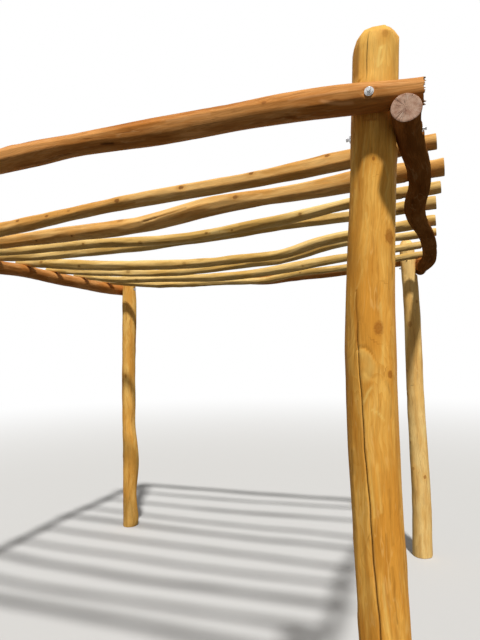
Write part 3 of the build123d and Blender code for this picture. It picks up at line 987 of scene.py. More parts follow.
    def all_knots(self, length: float) -> list[Knot]:
        """The placed knots and the scattered ones, clear of each other.

        Args:
            length: Length of the log.

        Returns:
            The knots.
        """
        rng = np.random.default_rng(self.seed + Draw.KNOTS)
        found = list(self.knots)
        thick = self.mean_radius()
        clear_of_ends, apart = 0.12, 0.10
        for _ in range(self.scattered_knots):
            knot = Knot(
                along=float(rng.uniform(clear_of_ends, length - clear_of_ends)),
                round=float(rng.uniform(0, 360)),
                radius=float(rng.uniform(0.10, 0.24) * thick + 0.003),
                swell=float(rng.uniform(0.02, 0.06) * thick),
                strength=float(rng.uniform(0.5, 1.0)),
            )
            if all(abs(knot.along - other.along) > apart for other in found):
                found.append(knot)
        return found

    def all_marks(self, length: float) -> list[Mark]:
        """The placed marks and the scattered ones.

        Args:
            length: Length of the log.

        Returns:
            The marks.
        """
        rng = np.random.default_rng(self.seed + Draw.MARKS)
        found = list(self.marks)
        clear_of_ends, tones = 0.1, [-0.5, -0.35, 0.3, 0.45]
        for _ in range(self.scattered_marks):
            along = float(rng.uniform(clear_of_ends, length - clear_of_ends))
            turn = float(rng.uniform(0, 360))
            course = [(along, turn)]
            for _ in range(3):
                along += float(rng.uniform(0.015, 0.06))
                turn += float(rng.uniform(-12, 12))
                course.append((along, turn))
            found.append(Mark(
                tuple(course), width=float(rng.uniform(0.003, 0.009)),
                tone=float(rng.choice(tones)), depth=float(rng.uniform(0, 0.0008)),
            ))
        return found

    def cover(self, mark: Mark, angles: np.ndarray, places: np.ndarray, radius: np.ndarray) -> np.ndarray:
        """How far a mark covers each point, 0 to 1.

        Args:
            mark: The mark.
            angles: Angle of each point round the log.
            places: Length along the log of each ring.
            radius: Distance of each point from its ring's middle.

        Returns:
            The cover by ring and column.
        """
        nearest = np.full(angles.shape, NOWHERE)
        typical = float(radius.mean())
        for (low, first), (high, last) in zip(mark.course, mark.course[1:]):
            across = turn_from(angles, first) * radius
            along = places[:, None] - low
            rise, drift = high - low, math.radians(last - first) * typical
            share = np.clip((along * rise + across * drift) / (rise ** 2 + drift ** 2), 0, 1)
            nearest = np.minimum(nearest, np.hypot(along - share * rise, across - share * drift))
        near = np.clip(1 - nearest / mark.width, 0, 1)
        return near * near * (3 - 2 * near)

    def hewn(self, angles: np.ndarray, places: np.ndarray, distance: np.ndarray) -> np.ndarray:
        """Cut the placed and the scattered flats of the drawknife.

        Args:
            angles: Angle of each point round the log.
            places: Length along the log of each ring.
            distance: Distance of each point from its ring's middle.

        Returns:
            The distances after the cuts.
        """
        rng = np.random.default_rng(self.seed + Draw.FACETS)
        facets = list(self.facets)
        for _ in range(self.scattered_facets):
            facets.append(Facet(
                along=float(rng.uniform(0, places[-1])),
                round=float(rng.uniform(0, 360)),
                half_length=float(rng.uniform(0.10, 0.5)),
                depth=float(rng.uniform(0.4, 1.0) * self.facet_depth),
            ))
        radius = distance.mean(axis=1)[:, None]
        soft, run_out, least_cosine = 0.006 * radius, 0.08, 0.2
        for facet in facets:
            reach = np.clip(np.abs(places - facet.along) / facet.half_length, 0, 1)[:, None]
            chord = radius * (1 - facet.depth * (1 - reach ** 3) + run_out * reach ** 6)
            cut = chord / np.maximum(np.cos(turn_from(angles, facet.round)), least_cosine)
            gap = np.clip(0.5 + (cut - distance) / (2 * soft), 0, 1)
            distance = gap * distance + (1 - gap) * cut - soft * gap * (1 - gap)
        return distance

    def fade(self, points: np.ndarray) -> np.ndarray:
        """1 where the log is free, falling to 0 where another log or bolt seats.

        Args:
            points: The surface by ring and column.

        Returns:
            The share of relief allowed at each point.
        """
        free = np.ones(points.shape[:2])
        for low, high in self.quiet:
            gap = np.zeros(points.shape[:2])
            for axis in range(3):
                past = np.maximum(low[axis] - points[..., axis], points[..., axis] - high[axis])
                gap = np.maximum(gap, past)
            free = np.minimum(free, np.clip(gap / self.seat_fade, 0, 1))
        return free

    def build(self) -> bpy.types.Object:
        """Make the log's skin, dress it and put it in place of its solid.

        Returns:
            The finished object.
        """
        solid = search_tree(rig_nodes()[self.node].data)
        middles, ways, places = self.rows(solid)
        side, rise = self.frame(ways)
        angles = self.angles(places)
        raw = self.distances(solid, middles, side, rise, angles)
        outward = (
            np.cos(angles)[..., None] * side[:, None, :] + np.sin(angles)[..., None] * rise[:, None, :])
        surface = middles[:, None, :] + raw[..., None] * outward
        free = self.fade(surface)
        relief = self.lumps(angles, places) * free
        offset = np.zeros(angles.shape + (3,))
        offset[..., :2] = NOWHERE
        nearest = np.full(angles.shape, NOWHERE)
        for knot in self.all_knots(float(places[-1])):
            across = turn_from(angles, knot.round) * raw / knot.radius
            along = (places[:, None] - knot.along) / (knot.stretch * knot.radius)
            along = np.broadcast_to(along, angles.shape)
            reach = np.hypot(across, along)
            relief += knot.swell * np.exp(-(reach / knot.spread) ** 2) * free
            relief -= knot.dimple * knot.swell * np.exp(-(reach / knot.dimple_spread) ** 2) * free
            closer = reach < nearest
            nearest = np.minimum(nearest, reach)
            offset[closer] = np.stack(
                [along[closer], across[closer], np.full(closer.sum(), knot.strength)], axis=-1)
        groove = np.zeros(angles.shape)
        for crack in self.cracks:
            column, _, depth = self.crack_course(crack, places)
            relief[:, column] -= crack.depth * depth * free[:, column]
            groove[:, column] = np.maximum(groove[:, column], depth)
        tone = np.zeros(angles.shape)
        for mark in self.all_marks(float(places[-1])):
            covered = self.cover(mark, angles, places, raw)
            relief -= mark.depth * covered * free
            tone = np.where(np.abs(mark.tone) * covered > np.abs(tone), mark.tone * covered, tone)
        distance = raw + relief
        distance = free * self.hewn(angles, places, distance) + (1 - free) * distance
        surface = middles[:, None, :] + distance[..., None] * outward
        surface = self.spot_faces(surface)
        place = np.stack([
            distance * np.cos(angles), distance * np.sin(angles),
            np.broadcast_to(places[:, None], angles.shape),
        ], axis=-1)
        return self.mesh(surface, place, offset, np.stack([groove, tone]), middles, ways, places)

    def spot_faces(self, surface: np.ndarray) -> np.ndarray:
        """Flatten the skin round each washer, at the washer's own seat.

        Args:
            surface: The surface by ring and column.

        Returns:
            The same surface with its spot faces.
        """
        for low, high in self.bolts:
            size = high - low
            axis = max(range(3), key=lambda number: size[number])
            others = [number for number in range(3) if number != axis]
            centre = (low + high) / 2
            gap = np.hypot(*(surface[..., number] - centre[number] for number in others))
            for end, sign in ((high[axis], 1), (low[axis], -1)):
                seat = end - sign * BoltEnds.proud()
                near = (gap < self.seat_radius) & (np.abs(surface[..., axis] - seat) < self.depth_of_seat)
                share = np.clip((self.seat_radius - gap) / self.seat_edge, 0, 1) * near
                surface[..., axis] += (seat - surface[..., axis]) * share
        return surface

    def cap(self, ring: np.ndarray, middle: np.ndarray, way: np.ndarray,
            torn: float) -> tuple[np.ndarray, int]:
        """Rings of points that round a sawn edge and close the end.

        Args:
            ring: The log's last ring of points.
            middle: That ring's middle.
            way: Outward direction.
            torn: Depth of the torn fibres.

        Returns:
            The further points, ring by ring with the pith last, and the number of rings.
        """
        spokes = ring - middle
        reach = np.linalg.norm(spokes, axis=1)[:, None]
        unit = spokes / reach
        rings = []
        rng = np.random.default_rng(self.seed + Draw.ENDS)
        fibres = torn * rng.uniform(-0.6, 1.0, (len(ring), 1)) ** 3
        last_inset, saw_marks = 0.0022, 0.0006
        for inset, rise in ((0.0007, 0.7), (last_inset, 1.0)):
            rings.append(middle + unit * (reach - inset) + way * (self.edge * rise + fibres))
        for share in (0.86, 0.66, 0.44, 0.22):
            rough = rng.uniform(-saw_marks - torn, 0.0, (len(ring), 1))
            rings.append(middle + unit * (reach - last_inset) * share + way * (self.edge + rough))
        points = np.vstack([*rings, middle + way * self.edge])
        return points, len(rings)

    def mesh(self, surface: np.ndarray, place: np.ndarray, offset: np.ndarray, masks: np.ndarray,
             middles: np.ndarray, ways: np.ndarray, places: np.ndarray) -> bpy.types.Object:
        """Join the rings and the two ends into one closed mesh.

        Args:
            surface: The surface by ring and column.
            place: Each point's place in the straightened log.
            offset: Offset of each point from its nearest knot.
            masks: The cracks and the marks at each point.
            middles: Each ring's middle.
            ways: Each ring's direction along the log.
            places: Length along the log of each ring.

        Returns:
            The finished object.
        """
        _, rows, columns = masks.shape
        points, own = [surface.reshape(-1, 3)], [place.reshape(-1, 3)]
        faces = []
        for row in range(rows - 1):
            faces += band(row * columns, (row + 1) * columns, columns)
        materials = [0] * len(faces)
        start = rows * columns
        for row, sign in ((0, -1), (rows - 1, 1)):
            torn = self.ragged if sign > 0 else 0.0
            cap_points, rings = self.cap(surface[row], middles[row], ways[row] * sign, torn)
            scale = np.linalg.norm(cap_points - middles[row], axis=1)
            angle = np.arctan2(place[row, :, 1], place[row, :, 0])
            cap_place = np.zeros((len(cap_points), 3))
            for ring in range(rings):
                part = slice(ring * columns, (ring + 1) * columns)
                cap_place[part, 0] = scale[part] * np.cos(angle)
                cap_place[part, 1] = scale[part] * np.sin(angle)
            cap_place[:, 2] = places[row]
            points.append(cap_points)
            own.append(cap_place)
            pith = start + rings * columns
            firsts = [row * columns, *range(start, pith, columns)]
            last = firsts[-1]
            end = [face for low, high in zip(firsts, firsts[1:]) for face in band(low, high, columns)]
            end += [(last + here, last + (here + 1) % columns, pith) for here in range(columns)]
            faces += end if sign > 0 else [face[::-1] for face in end]
            materials += [0] * columns + [1] * (len(end) - columns)
            start = pith + 1
        all_points = np.vstack(points)
        mesh = bpy.data.meshes.new(self.node + "_skin")
        mesh.from_pydata(all_points.tolist(), [], faces)
        turned = Vector(surface[rows // 2, 0] - middles[rows // 2])
        face = mesh.polygons[(rows // 2) * columns]
        if face.normal.dot(turned) < 0:
            mesh.flip_normals()
        mesh.polygons.foreach_set("material_index", materials)
        mesh.polygons.foreach_set("use_smooth", [True] * len(faces))
        spare = len(all_points) - rows * columns
        knot_values = np.vstack([offset.reshape(-1, 3), np.tile([NOWHERE, NOWHERE, 0.0], (spare, 1))])
        crack_values, mark_values = (
            np.concatenate([mask.reshape(-1), np.zeros(spare)]) for mask in masks)
        for name, kind, values in (
            ("place", "FLOAT_VECTOR", np.vstack(own)),
            ("knot", "FLOAT_VECTOR", knot_values),
            ("crack", "FLOAT", crack_values),
            ("mark", "FLOAT", mark_values),
        ):
            attribute = mesh.attributes.new(name, kind, "POINT")
            key = "vector" if kind == "FLOAT_VECTOR" else "value"
            attribute.data.foreach_set(key, values.astype(np.float32).ravel())
        grain_shift = 0.37 * self.seed
        finish = replace(self.finish, name=self.node + "_wood", seed=grain_shift)
        mesh.materials.append(finish.long_grain())
        mesh.materials.append(finish.end_grain())
        skin = new_object(self.node + "_skin", mesh)
        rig.ride(skin, "root")
        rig.replaces(skin, self.node)
        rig.slot(skin, self.finish.slot)
        log.info("%s: %d faces", skin.name, len(faces))
        return skin


# Through bolts and screws

def point_tree(name: str, sizes: dict) -> tuple[Tree, dict[str, Socket]]:
    """Start a geometry tree that puts one thing on each point.

    Args:
        name: The tree's name.
        sizes: Its sizes, seed and material by the names of their inputs.

    Returns:
        The tree, and its inputs' sockets by name.
    """
    group = bpy.data.node_groups.new(name, "GeometryNodeTree")
    kinds = {"Geometry": "Geometry", **dict.fromkeys(sizes, "Float"), "Seed": "Int", "Material": "Material"}
    for label, kind in kinds.items():
        group.interface.new_socket(label, in_out="INPUT", socket_type="NodeSocket" + kind)
    group.interface.new_socket("Geometry", in_out="OUTPUT", socket_type="NodeSocketGeometry")
    tree = Tree(group)
    return tree, {socket.name: socket for socket in tree.node("NodeGroupInput").outputs}


def put_on_points(tree: Tree, size: dict[str, Socket], thing: Socket) -> bpy.types.NodeTree:
    """Finish a geometry tree: a copy of one thing on each point, turned to face its way.

    Args:
        tree: The tree.
        size: Its inputs' sockets by name.
        thing: The mesh to copy.

    Returns:
        The finished tree.
    """
    facing = tree.node("GeometryNodeInputNamedAttribute", {0: "facing"}, data_type="FLOAT_VECTOR")
    spin = tree.node(
        "FunctionNodeRandomValue", {"Max": (0.0, 0.0, math.pi), "Seed": size["Seed"]},
        data_type="FLOAT_VECTOR")
    aligned = tree.node(
        "FunctionNodeAlignRotationToVector", {"Vector": facing.outputs[0]}, axis="Z").outputs[0]
    turned = tree.node("FunctionNodeRotateRotation", {
        0: aligned, 1: tree.node("FunctionNodeEulerToRotation", {0: spin.outputs[0]}).outputs[0],
    }, rotation_space="LOCAL").outputs[0]
    placed = tree.node("GeometryNodeInstanceOnPoints", {
        "Points": size["Geometry"], "Instance": thing, "Rotation": turned,
    }).outputs[0]
    real = tree.node("GeometryNodeRealizeInstances", {0: placed}).outputs[0]
    dressed = tree.node("GeometryNodeSetMaterial", {0: real, "Material": size["Material"]}).outputs[0]
    tree.feed(tree.node("NodeGroupOutput"), {0: dressed})
    return tree.tree


def scatter(name: str, points: list[Vector], facings: list[Vector],
            group: bpy.types.NodeTree, sizes: dict) -> bpy.types.Object:
    """Run a geometry tree on points and keep its result as a plain mesh.

    Args:
        name: Name of the new object.
        points: Where the pieces go.
        facings: Direction in which each piece faces.
        group: The geometry tree.
        sizes: Values for its inputs, by name.

    Returns:
        The object with the finished mesh.
    """
    seeds = bpy.data.meshes.new(name + "_points")
    seeds.from_pydata([tuple(point) for point in points], [], [])
    attribute = seeds.attributes.new("facing", "FLOAT_VECTOR", "POINT")
    attribute.data.foreach_set("vector", np.array([tuple(way) for way in facings], np.float32).ravel())
    piece = new_object(name, seeds)
    modifier = piece.modifiers.new("tree", "NODES")
    modifier.node_group = group
    for socket in group.interface.items_tree:
        if socket.in_out == "INPUT" and socket.name in sizes:
            modifier[socket.identifier] = sizes[socket.name]
    bpy.context.view_layer.update()
    evaluated = piece.evaluated_get(bpy.context.evaluated_depsgraph_get())
    mesh = bpy.data.meshes.new_from_object(evaluated)
    piece.modifiers.remove(modifier)
    piece.data = mesh
    mesh.name = name
    return piece


@dataclass
class BoltEnds:
    """Washers, nuts and threaded rod ends of the through bolts.

    The hexagon lies half below its own zero and is cut there, so a nut shows
    half of Nut Height above its washer.
    """

    zinc: bpy.types.Material
    washer_diameter: float = 0.027
    washer_thickness: float = 0.0025
    washer_bevel: float = 0.0006
    across_flats: float = 0.019
    nut_height: float = 0.010
    rod_diameter: float = 0.012
    rod_proud: float = 0.005
    pitch: float = 0.00175
    round_sides: int = 48
    rod_sides: int = 24
    thread_turns: int = 3

    @staticmethod
    def proud() -> float:
        """How far a bolt stands out of its spot face."""
        return BoltEnds.washer_thickness + BoltEnds.nut_height + BoltEnds.rod_proud

    def sizes(self) -> dict:
        """The tree's sizes by input name."""
        return {
            "Washer Diameter": self.washer_diameter, "Washer Thickness": self.washer_thickness,
            "Across Flats": self.across_flats, "Nut Height": self.nut_height,
            "Rod Diameter": self.rod_diameter, "Rod Proud": self.rod_proud,
            "Pitch": self.pitch, "Seed": 11, "Material": self.zinc,
        }

    def tree(self) -> bpy.types.NodeTree:
        """Geometry tree that puts one bolt end on each point."""
        tree, size = point_tree("bolt_ends", self.sizes())
        thickness, flats, height, rod, pitch = (
            size[name]
            for name in ("Washer Thickness", "Across Flats", "Nut Height", "Rod Diameter", "Pitch"))
        radius = tree.times(size["Washer Diameter"], 0.5)
        washer = tree.cone(self.round_sides, tree.minus(radius, self.washer_bevel), radius, thickness)
        corner = tree.math("DIVIDE", flats, math.sqrt(3))
        prism = tree.node("GeometryNodeMeshCylinder", {
            "Vertices": 6, "Radius": corner, "Depth": height,
        }).outputs[0]
        top_share, bottom_share = 0.47, 1.9
        clearance = tree.cone(
            self.round_sides, tree.times(flats, top_share), tree.times(corner, bottom_share), height)
        nut = tree.node("GeometryNodeMeshBoolean", {1: prism}, operation="INTERSECT", solver="EXACT")
        tree.tree.links.new(clearance, nut.inputs[1])
        core_share, tip_share, thread_share, thread_sides = 0.45, 0.40, 0.36, 6
        core = tree.times(rod, core_share)
        rod_height = tree.plus(tree.plus(height, size["Rod Proud"]), thickness)
        rod_end = tree.cone(self.rod_sides, tree.times(rod, tip_share), core, rod_height)
        thread = tree.node("GeometryNodeCurveToMesh", {
            0: tree.circle(self.rod_sides, core),
            1: tree.circle(thread_sides, tree.times(pitch, thread_share)),
        }).outputs[0]
        first = tree.plus(tree.plus(thickness, height), tree.times(pitch, 0.5))
        turns = tree.node("GeometryNodeMeshLine", {
            "Count": self.thread_turns, "Start Location": tree.vector(z=first),
            "Offset": tree.vector(z=pitch),
        }, mode="OFFSET").outputs[0]
        threads = tree.node("GeometryNodeInstanceOnPoints", {"Points": turns, "Instance": thread}).outputs[0]
        whole = tree.join(washer, tree.lift(nut.outputs[0], thickness), rod_end, threads)
        return put_on_points(tree, size, whole)

    def build(self) -> bpy.types.Object:
        """Make both ends of every through bolt.

        Returns:
            The object with all of them.
        """
        names = sorted(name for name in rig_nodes() if name.startswith("bolt_"))
        points, facings = [], []
        for name in names:
            low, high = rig.box(name)
            axis = 0 if name.endswith("_side") else 1
            for end, sign in ((high[axis], 1), (low[axis], -1)):
                point = (low + high) / 2
                point[axis] = end - sign * self.proud()
                points.append(point)
                facings.append(axis_way(axis, sign))
        ends = scatter("through_bolts", points, facings, self.tree(), self.sizes())
        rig.ride(ends, "root")
        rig.replaces(ends, *names)
        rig.slot(ends, "zinc")
        log.info("%s: %d ends", ends.name, len(points))
        return ends


@dataclass
class Screws:
    """Countersunk screws that hold the rafters down on the side beams."""

    zinc: bpy.types.Material
    rafters: int = 8
    head_diameter: float = 0.012
    head_rise: float = 0.0006
    socket_diameter: float = 0.0052
    socket_depth: float = 0.0016

    def sizes(self) -> dict:
        """The tree's sizes by input name."""
        return {
            "Head Diameter": self.head_diameter, "Head Rise": self.head_rise,
            "Socket Diameter": self.socket_diameter, "Socket Depth": self.socket_depth,
            "Seed": 17, "Material": self.zinc,
        }

    def tree(self) -> bpy.types.NodeTree:
        """Geometry tree that puts one screw head on each point."""
        tree, size = point_tree("screw_heads", self.sizes())
        wide, rise, socket = (size[name] for name in ("Head Diameter", "Head Rise", "Socket Diameter"))
        head_sides, top_share, star_points, star_share = 24, 0.46, 6, 0.36
        sunk, lift_share = 2.0, 0.6
        head = tree.cone(
            head_sides, tree.times(wide, top_share), tree.times(wide, 0.5), tree.times(rise, sunk))
        star = tree.node("GeometryNodeCurveStar", {
            "Points": star_points, "Inner Radius": tree.times(socket, star_share),
            "Outer Radius": tree.times(socket, 0.5),
        }).outputs[0]
        floor = tree.node("GeometryNodeFillCurve", {"Curve": star}).outputs[0]
        drill = tree.node("GeometryNodeExtrudeMesh", {
            "Mesh": floor, "Offset Scale": tree.times(size["Socket Depth"], sunk), "Individual": False,
        }).outputs[0]
        plug = tree.join(drill, tree.node("GeometryNodeFlipFaces", {0: floor}).outputs[0])
        closed = tree.node("GeometryNodeMergeByDistance", {"Geometry": plug}).outputs[0]
        lowered = tree.lift(closed, tree.times(rise, lift_share))
        cut = tree.node(
            "GeometryNodeMeshBoolean", {0: head, 1: lowered}, operation="DIFFERENCE", solver="EXACT")
        return put_on_points(tree, size, cut.outputs[0])

    def places(self) -> tuple[list[Vector], list[Vector]]:
        """Where each rafter crosses each side beam, on the rafter's top, and its slope there.

        Returns:
            The points and the directions that they face.
        """
        points, facings = [], []
        tries, above = 60, 0.2
        for number in range(1, self.rafters + 1):
            skin = search_tree(bpy.data.objects[f"rafter_{number}_skin"].data)
            low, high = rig.box(f"rafter_{number}")
            for side in ("left_beam", "right_beam"):
                beam_low, beam_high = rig.box(side)
                across = (beam_low.x + beam_high.x) / 2
                best = None
                for step in range(tries):
                    along = low.y + (high.y - low.y) * (step + 0.5) / tries
                    start = Vector((across, along, high.z + above))
                    point, normal, _, _ = skin.ray_cast(start, axis_way(2, -1))
                    if point is not None and (best is None or point.z > best[0].z):
                        best = (point, normal)
                points.append(best[0])
                facings.append(best[1])
        return points, facings

    def build(self) -> bpy.types.Object:
        """Make every screw head.

        Returns:
            The object with all of them.
        """
        points, facings = self.places()
        heads = scatter("rafter_screws", points, facings, self.tree(), self.sizes())
        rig.ride(heads, "root")
        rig.slot(heads, "zinc")
        log.info("%s: %d heads", heads.name, len(points))
        return heads


# The whole pergola

@dataclass
class Pergola:
    """All logs and fasteners, and their finishes."""

    post: WoodFinish = WoodFinish(
        name="post_wood", slot="post_wood",
        pale=(0.92, 0.50, 0.105, 1), middle=(0.73, 0.31, 0.04, 1),
        dark=(0.36, 0.115, 0.012, 1), knot=(0.38, 0.14, 0.022, 1), streaks=0.65,
        sawn=(0.72, 0.45, 0.18, 1), sawn_dark=(0.46, 0.25, 0.08, 1),
    )
    side: WoodFinish = WoodFinish(
        name="beam_wood", slot="beam_wood",
        pale=(0.66, 0.31, 0.095, 1), middle=(0.44, 0.155, 0.028, 1),
        dark=(0.16, 0.045, 0.008, 1), knot=(0.20, 0.07, 0.018, 1), streaks=0.75,
    )
    front: WoodFinish = WoodFinish(
        name="front_rafter_wood", slot="front_rafter_wood",
        pale=(0.82, 0.50, 0.175, 1), middle=(0.60, 0.28, 0.06, 1),
        dark=(0.22, 0.08, 0.016, 1), knot=(0.20, 0.07, 0.02, 1), streaks=0.6,
        sawn=(0.56, 0.33, 0.14, 1), sawn_dark=(0.30, 0.15, 0.06, 1),
    )
    straw: WoodFinish = WoodFinish(
        name="rafter_wood", slot="rafter_wood",
        pale=(0.82, 0.57, 0.22, 1), middle=(0.58, 0.34, 0.085, 1),
        dark=(0.25, 0.12, 0.025, 1), knot=(0.24, 0.11, 0.03, 1), streaks=0.55,
        sawn=(0.60, 0.38, 0.17, 1), sawn_dark=(0.34, 0.19, 0.08, 1),
    )

    def near_right_post(self) -> LogSkin:
        """The post nearest to the viewer, with its long drying crack and its burl."""
        return LogSkin(
            "near_right_post", Run.UPRIGHT, self.post, seed=3, columns=132, row_gap=0.006,
            scattered_knots=6, scattered_marks=30,
            knots=(
                Knot(1.520, 320, 0.010, 0.002), Knot(2.137, 276, 0.005, 0.0005),
                Knot(2.505, 298, 0.012, 0.001, 0.45), Knot(1.547, 268, 0.030, 0.003, 0.12),
            ),
            cracks=(
                Crack((
                    (0.03, 284, 0.004), (0.80, 267.5, 0.004), (0.96, 263, 0.0036), (1.20, 259.5, 0.003),
                    (1.31, 255.5, 0.0026), (1.50, 251, 0.0018), (1.61, 247.5, 0.0012), (1.70, 244.5, 0.0006)),
                    0.007),
                Crack(((2.36, 256, 0.0024), (2.53, 255, 0.0024)), 0.003, 0.2),
            ),
            facets=(
                Facet(2.46, 274, 0.14, 0.045), Facet(2.46, 214, 0.14, 0.04), Facet(2.46, 334, 0.14, 0.04),
                Facet(1.1, 238, 0.7, 0.035), Facet(0.9, 300, 0.9, 0.04), Facet(1.9, 300, 0.5, 0.04),
            ),
            marks=(
                Mark(((2.40, 285), (2.52, 280)), 0.15, -0.35),
                Mark(((1.591, 246), (1.597, 264), (1.580, 277), (1.556, 291)), 0.007, 0.30, 0.002),
                Mark(((1.583, 256), (1.570, 270), (1.545, 275), (1.515, 266)), 0.026, -0.55),
                Mark(((1.530, 262), (1.508, 276), (1.522, 292), (1.548, 296)), 0.006, 0.22, 0.001),
                Mark(((1.485, 277), (1.470, 268), (1.443, 259)), 0.006, -0.7),
                Mark(((1.422, 276), (1.412, 290), (1.393, 302)), 0.005, -0.6),
                Mark(((1.305, 265), (1.128, 271)), 0.005, -0.6, 0.001),
                Mark(((2.466, 298), (2.462, 288), (2.436, 284), (2.407, 283)), 0.009, -1.0),
                Mark(((2.462, 299), (2.440, 297), (2.415, 290)), 0.006, -0.9),
                Mark(((1.30, 221), (1.24, 222)), 0.014, 0.35),
                Mark(((1.08, 294), (0.95, 297)), 0.005, 0.35), Mark(((0.99, 303), (0.84, 306)), 0.005, 0.35),
                Mark(((0.92, 289), (0.80, 292)), 0.004, 0.30), Mark(((1.20, 306), (1.05, 309)), 0.006, 0.30),
                Mark(((1.27, 282), (1.14, 285)), 0.006, -0.5), Mark(((0.95, 279), (0.82, 283)), 0.006, -0.5),
                Mark(((1.72, 300), (1.62, 306), (1.55, 302)), 0.006, -0.5),
                Mark(((1.50, 310), (1.46, 322), (1.40, 318)), 0.006, 0.4),
                Mark(((1.98, 262), (1.93, 268), (1.86, 262)), 0.006, -0.45),
                Mark(((1.76, 242), (1.61, 246)), 0.0035, 0.6, 0.0012),
            ),
        )

    def beams(self) -> list[LogSkin]:
        """The four thick level logs."""
        # The right beam gets a darker, matte copy of the beam wood: painted shade, for the shade that the beam lies
        # in.
        side_with_painted_shade = replace(
            self.side, pale=(0.32, 0.13, 0.036, 1), middle=(0.20, 0.068, 0.014, 1),
            dark=(0.08, 0.025, 0.005, 1), streaks=0.7, gloss=0.0, sawn=(0.63, 0.42, 0.30, 1),
            sawn_dark=(0.28, 0.11, 0.06, 1))
        return [
            LogSkin("left_beam", Run.ALONG, self.side, seed=13, columns=72),
            LogSkin(
                "right_beam", Run.ALONG, side_with_painted_shade, seed=14, columns=84, row_gap=0.007,
                knots=(Knot(0.165, 8, 0.016, 0.005), Knot(0.52, 200, 0.014, 0.004)),
            ),
            LogSkin(
                "front_beam", Run.ACROSS, self.side, seed=23, columns=84, row_gap=0.007, ragged=0.007,
                facet_depth=0.06, scattered_facets=26,
                knots=(Knot(2.374, 165, 0.007, 0.002, 0.6), Knot(1.2, 172, 0.010, 0.002, 0.7)),
                marks=(
                    Mark(((1.795, 220), (1.84, 224)), 0.007, 0.9, 0.001),
                    Mark(((2.05, 168), (2.20, 172)), 0.006, -0.5),
                    Mark(((2.45, 176), (2.62, 170)), 0.005, -0.5),
                ),
                facets=(Facet(1.9, 138, 1.2, 0.05), Facet(2.3, 185, 0.8, 0.045), Facet(1.0, 178, 0.8, 0.04)),
            ),
            LogSkin("back_beam", Run.ACROSS, self.side, seed=24, columns=64),
        ]

    def rafters(self) -> list[LogSkin]:
        """The eight thin logs of the open roof, front to back."""
        knots = {
            1: (Knot(1.343, 170, 0.008), Knot(1.696, 177, 0.010), Knot(1.980, 166, 0.009),
                Knot(2.261, 145, 0.009), Knot(2.544, 142, 0.009)),
            2: (Knot(1.240, 210, 0.006), Knot(1.015, 218, 0.006)),
            3: (Knot(1.070, 185, 0.008), Knot(1.276, 250, 0.007), Knot(1.816, 176, 0.008),
                Knot(1.954, 200, 0.007), Knot(2.302, 179, 0.008)),
            5: (Knot(0.570, 200, 0.010),),
            8: (Knot(1.930, 178, 0.008),),
        }
        marks = {2: (
            Mark(((1.642, 178), (1.665, 176), (1.700, 173)), 0.013, 1.0, 0.004),
            Mark(((1.690, 173), (1.757, 168), (1.860, 166)), 0.009, 1.0, 0.0025),
            Mark(((1.60, 160), (1.78, 152), (1.88, 156)), 0.006, -0.6),
            Mark(((1.64, 190), (1.76, 182), (1.86, 178)), 0.006, -0.5),
        )}
        return [
            LogSkin(
                f"rafter_{number}", Run.ACROSS, self.front if number < 3 else self.straw,
                seed=30 + number, columns=64 if number < 3 else 48, lump=0.022, facet_depth=0.09,
                scattered_facets=30, knots=knots.get(number, ()), marks=marks.get(number, ()))
            for number in range(1, 9)
        ]

    def logs(self) -> list[LogSkin]:
        """Every log of the pergola."""
        pale = replace(
            self.post, pale=(0.96, 0.66, 0.25, 1), middle=(0.82, 0.47, 0.13, 1),
            dark=(0.46, 0.20, 0.05, 1))
        golden = replace(self.post, pale=(0.94, 0.56, 0.15, 1), middle=(0.78, 0.37, 0.065, 1))
        return [
            self.near_right_post(),
            LogSkin("near_left_post", Run.UPRIGHT, self.post, seed=4, columns=72, scattered_marks=24),
            LogSkin(
                "far_right_post", Run.UPRIGHT, pale, seed=5, columns=72, scattered_marks=24,
                knots=(Knot(0.601, 301, 0.014, 0.003), Knot(0.66, 232, 0.012, 0.003, 0.8)),
                marks=(Mark(((1.284, 244), (1.281, 262)), 0.005, 0.9, 0.0015),),
            ),
            LogSkin("far_left_post", Run.UPRIGHT, golden, seed=6, columns=72, scattered_marks=24),
            *self.beams(),
            *self.rafters(),
        ]

    def seat_zones(self, skins: list[LogSkin]) -> None:
        """Tell each log where others touch it, and which bolts pass through it.

        Args:
            skins: Every log.
        """
        bolts = {name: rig.box(name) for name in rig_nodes() if name.startswith("bolt_")}
        for skin in skins:
            low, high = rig.box(skin.node)
            for other in skins:
                if other is skin:
                    continue
                shared_low = Vector([max(a, b) for a, b in zip(low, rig.box(other.node)[0])])
                shared_high = Vector([min(a, b) for a, b in zip(high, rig.box(other.node)[1])])
                if all(a < b for a, b in zip(shared_low, shared_high)):
                    skin.quiet.append((shared_low, shared_high))
            for name, (bolt_low, bolt_high) in bolts.items():
                if skin.node in self.bolted(name):
                    skin.bolts.append((bolt_low, bolt_high))

    def bolted(self, bolt: str) -> tuple[str, str]:
        """The post and the beam that a bolt joins."""
        _, depth, hand, kind = bolt.split("_")
        ends = {"near": "front_beam", "far": "back_beam"}
        return f"{depth}_{hand}_post", f"{hand}_beam" if kind == "side" else ends[depth]

    def build(self) -> None:
        """Make every log and fastener."""
        grain_group()
        knot_group()
        check_group()
        end_grain_group()
        skins = self.logs()
        self.seat_zones(skins)
        for skin in skins:
            skin.build()
        zinc = ZincFinish().material()
        BoltEnds(zinc).build()
        Screws(zinc).build()


# The studio

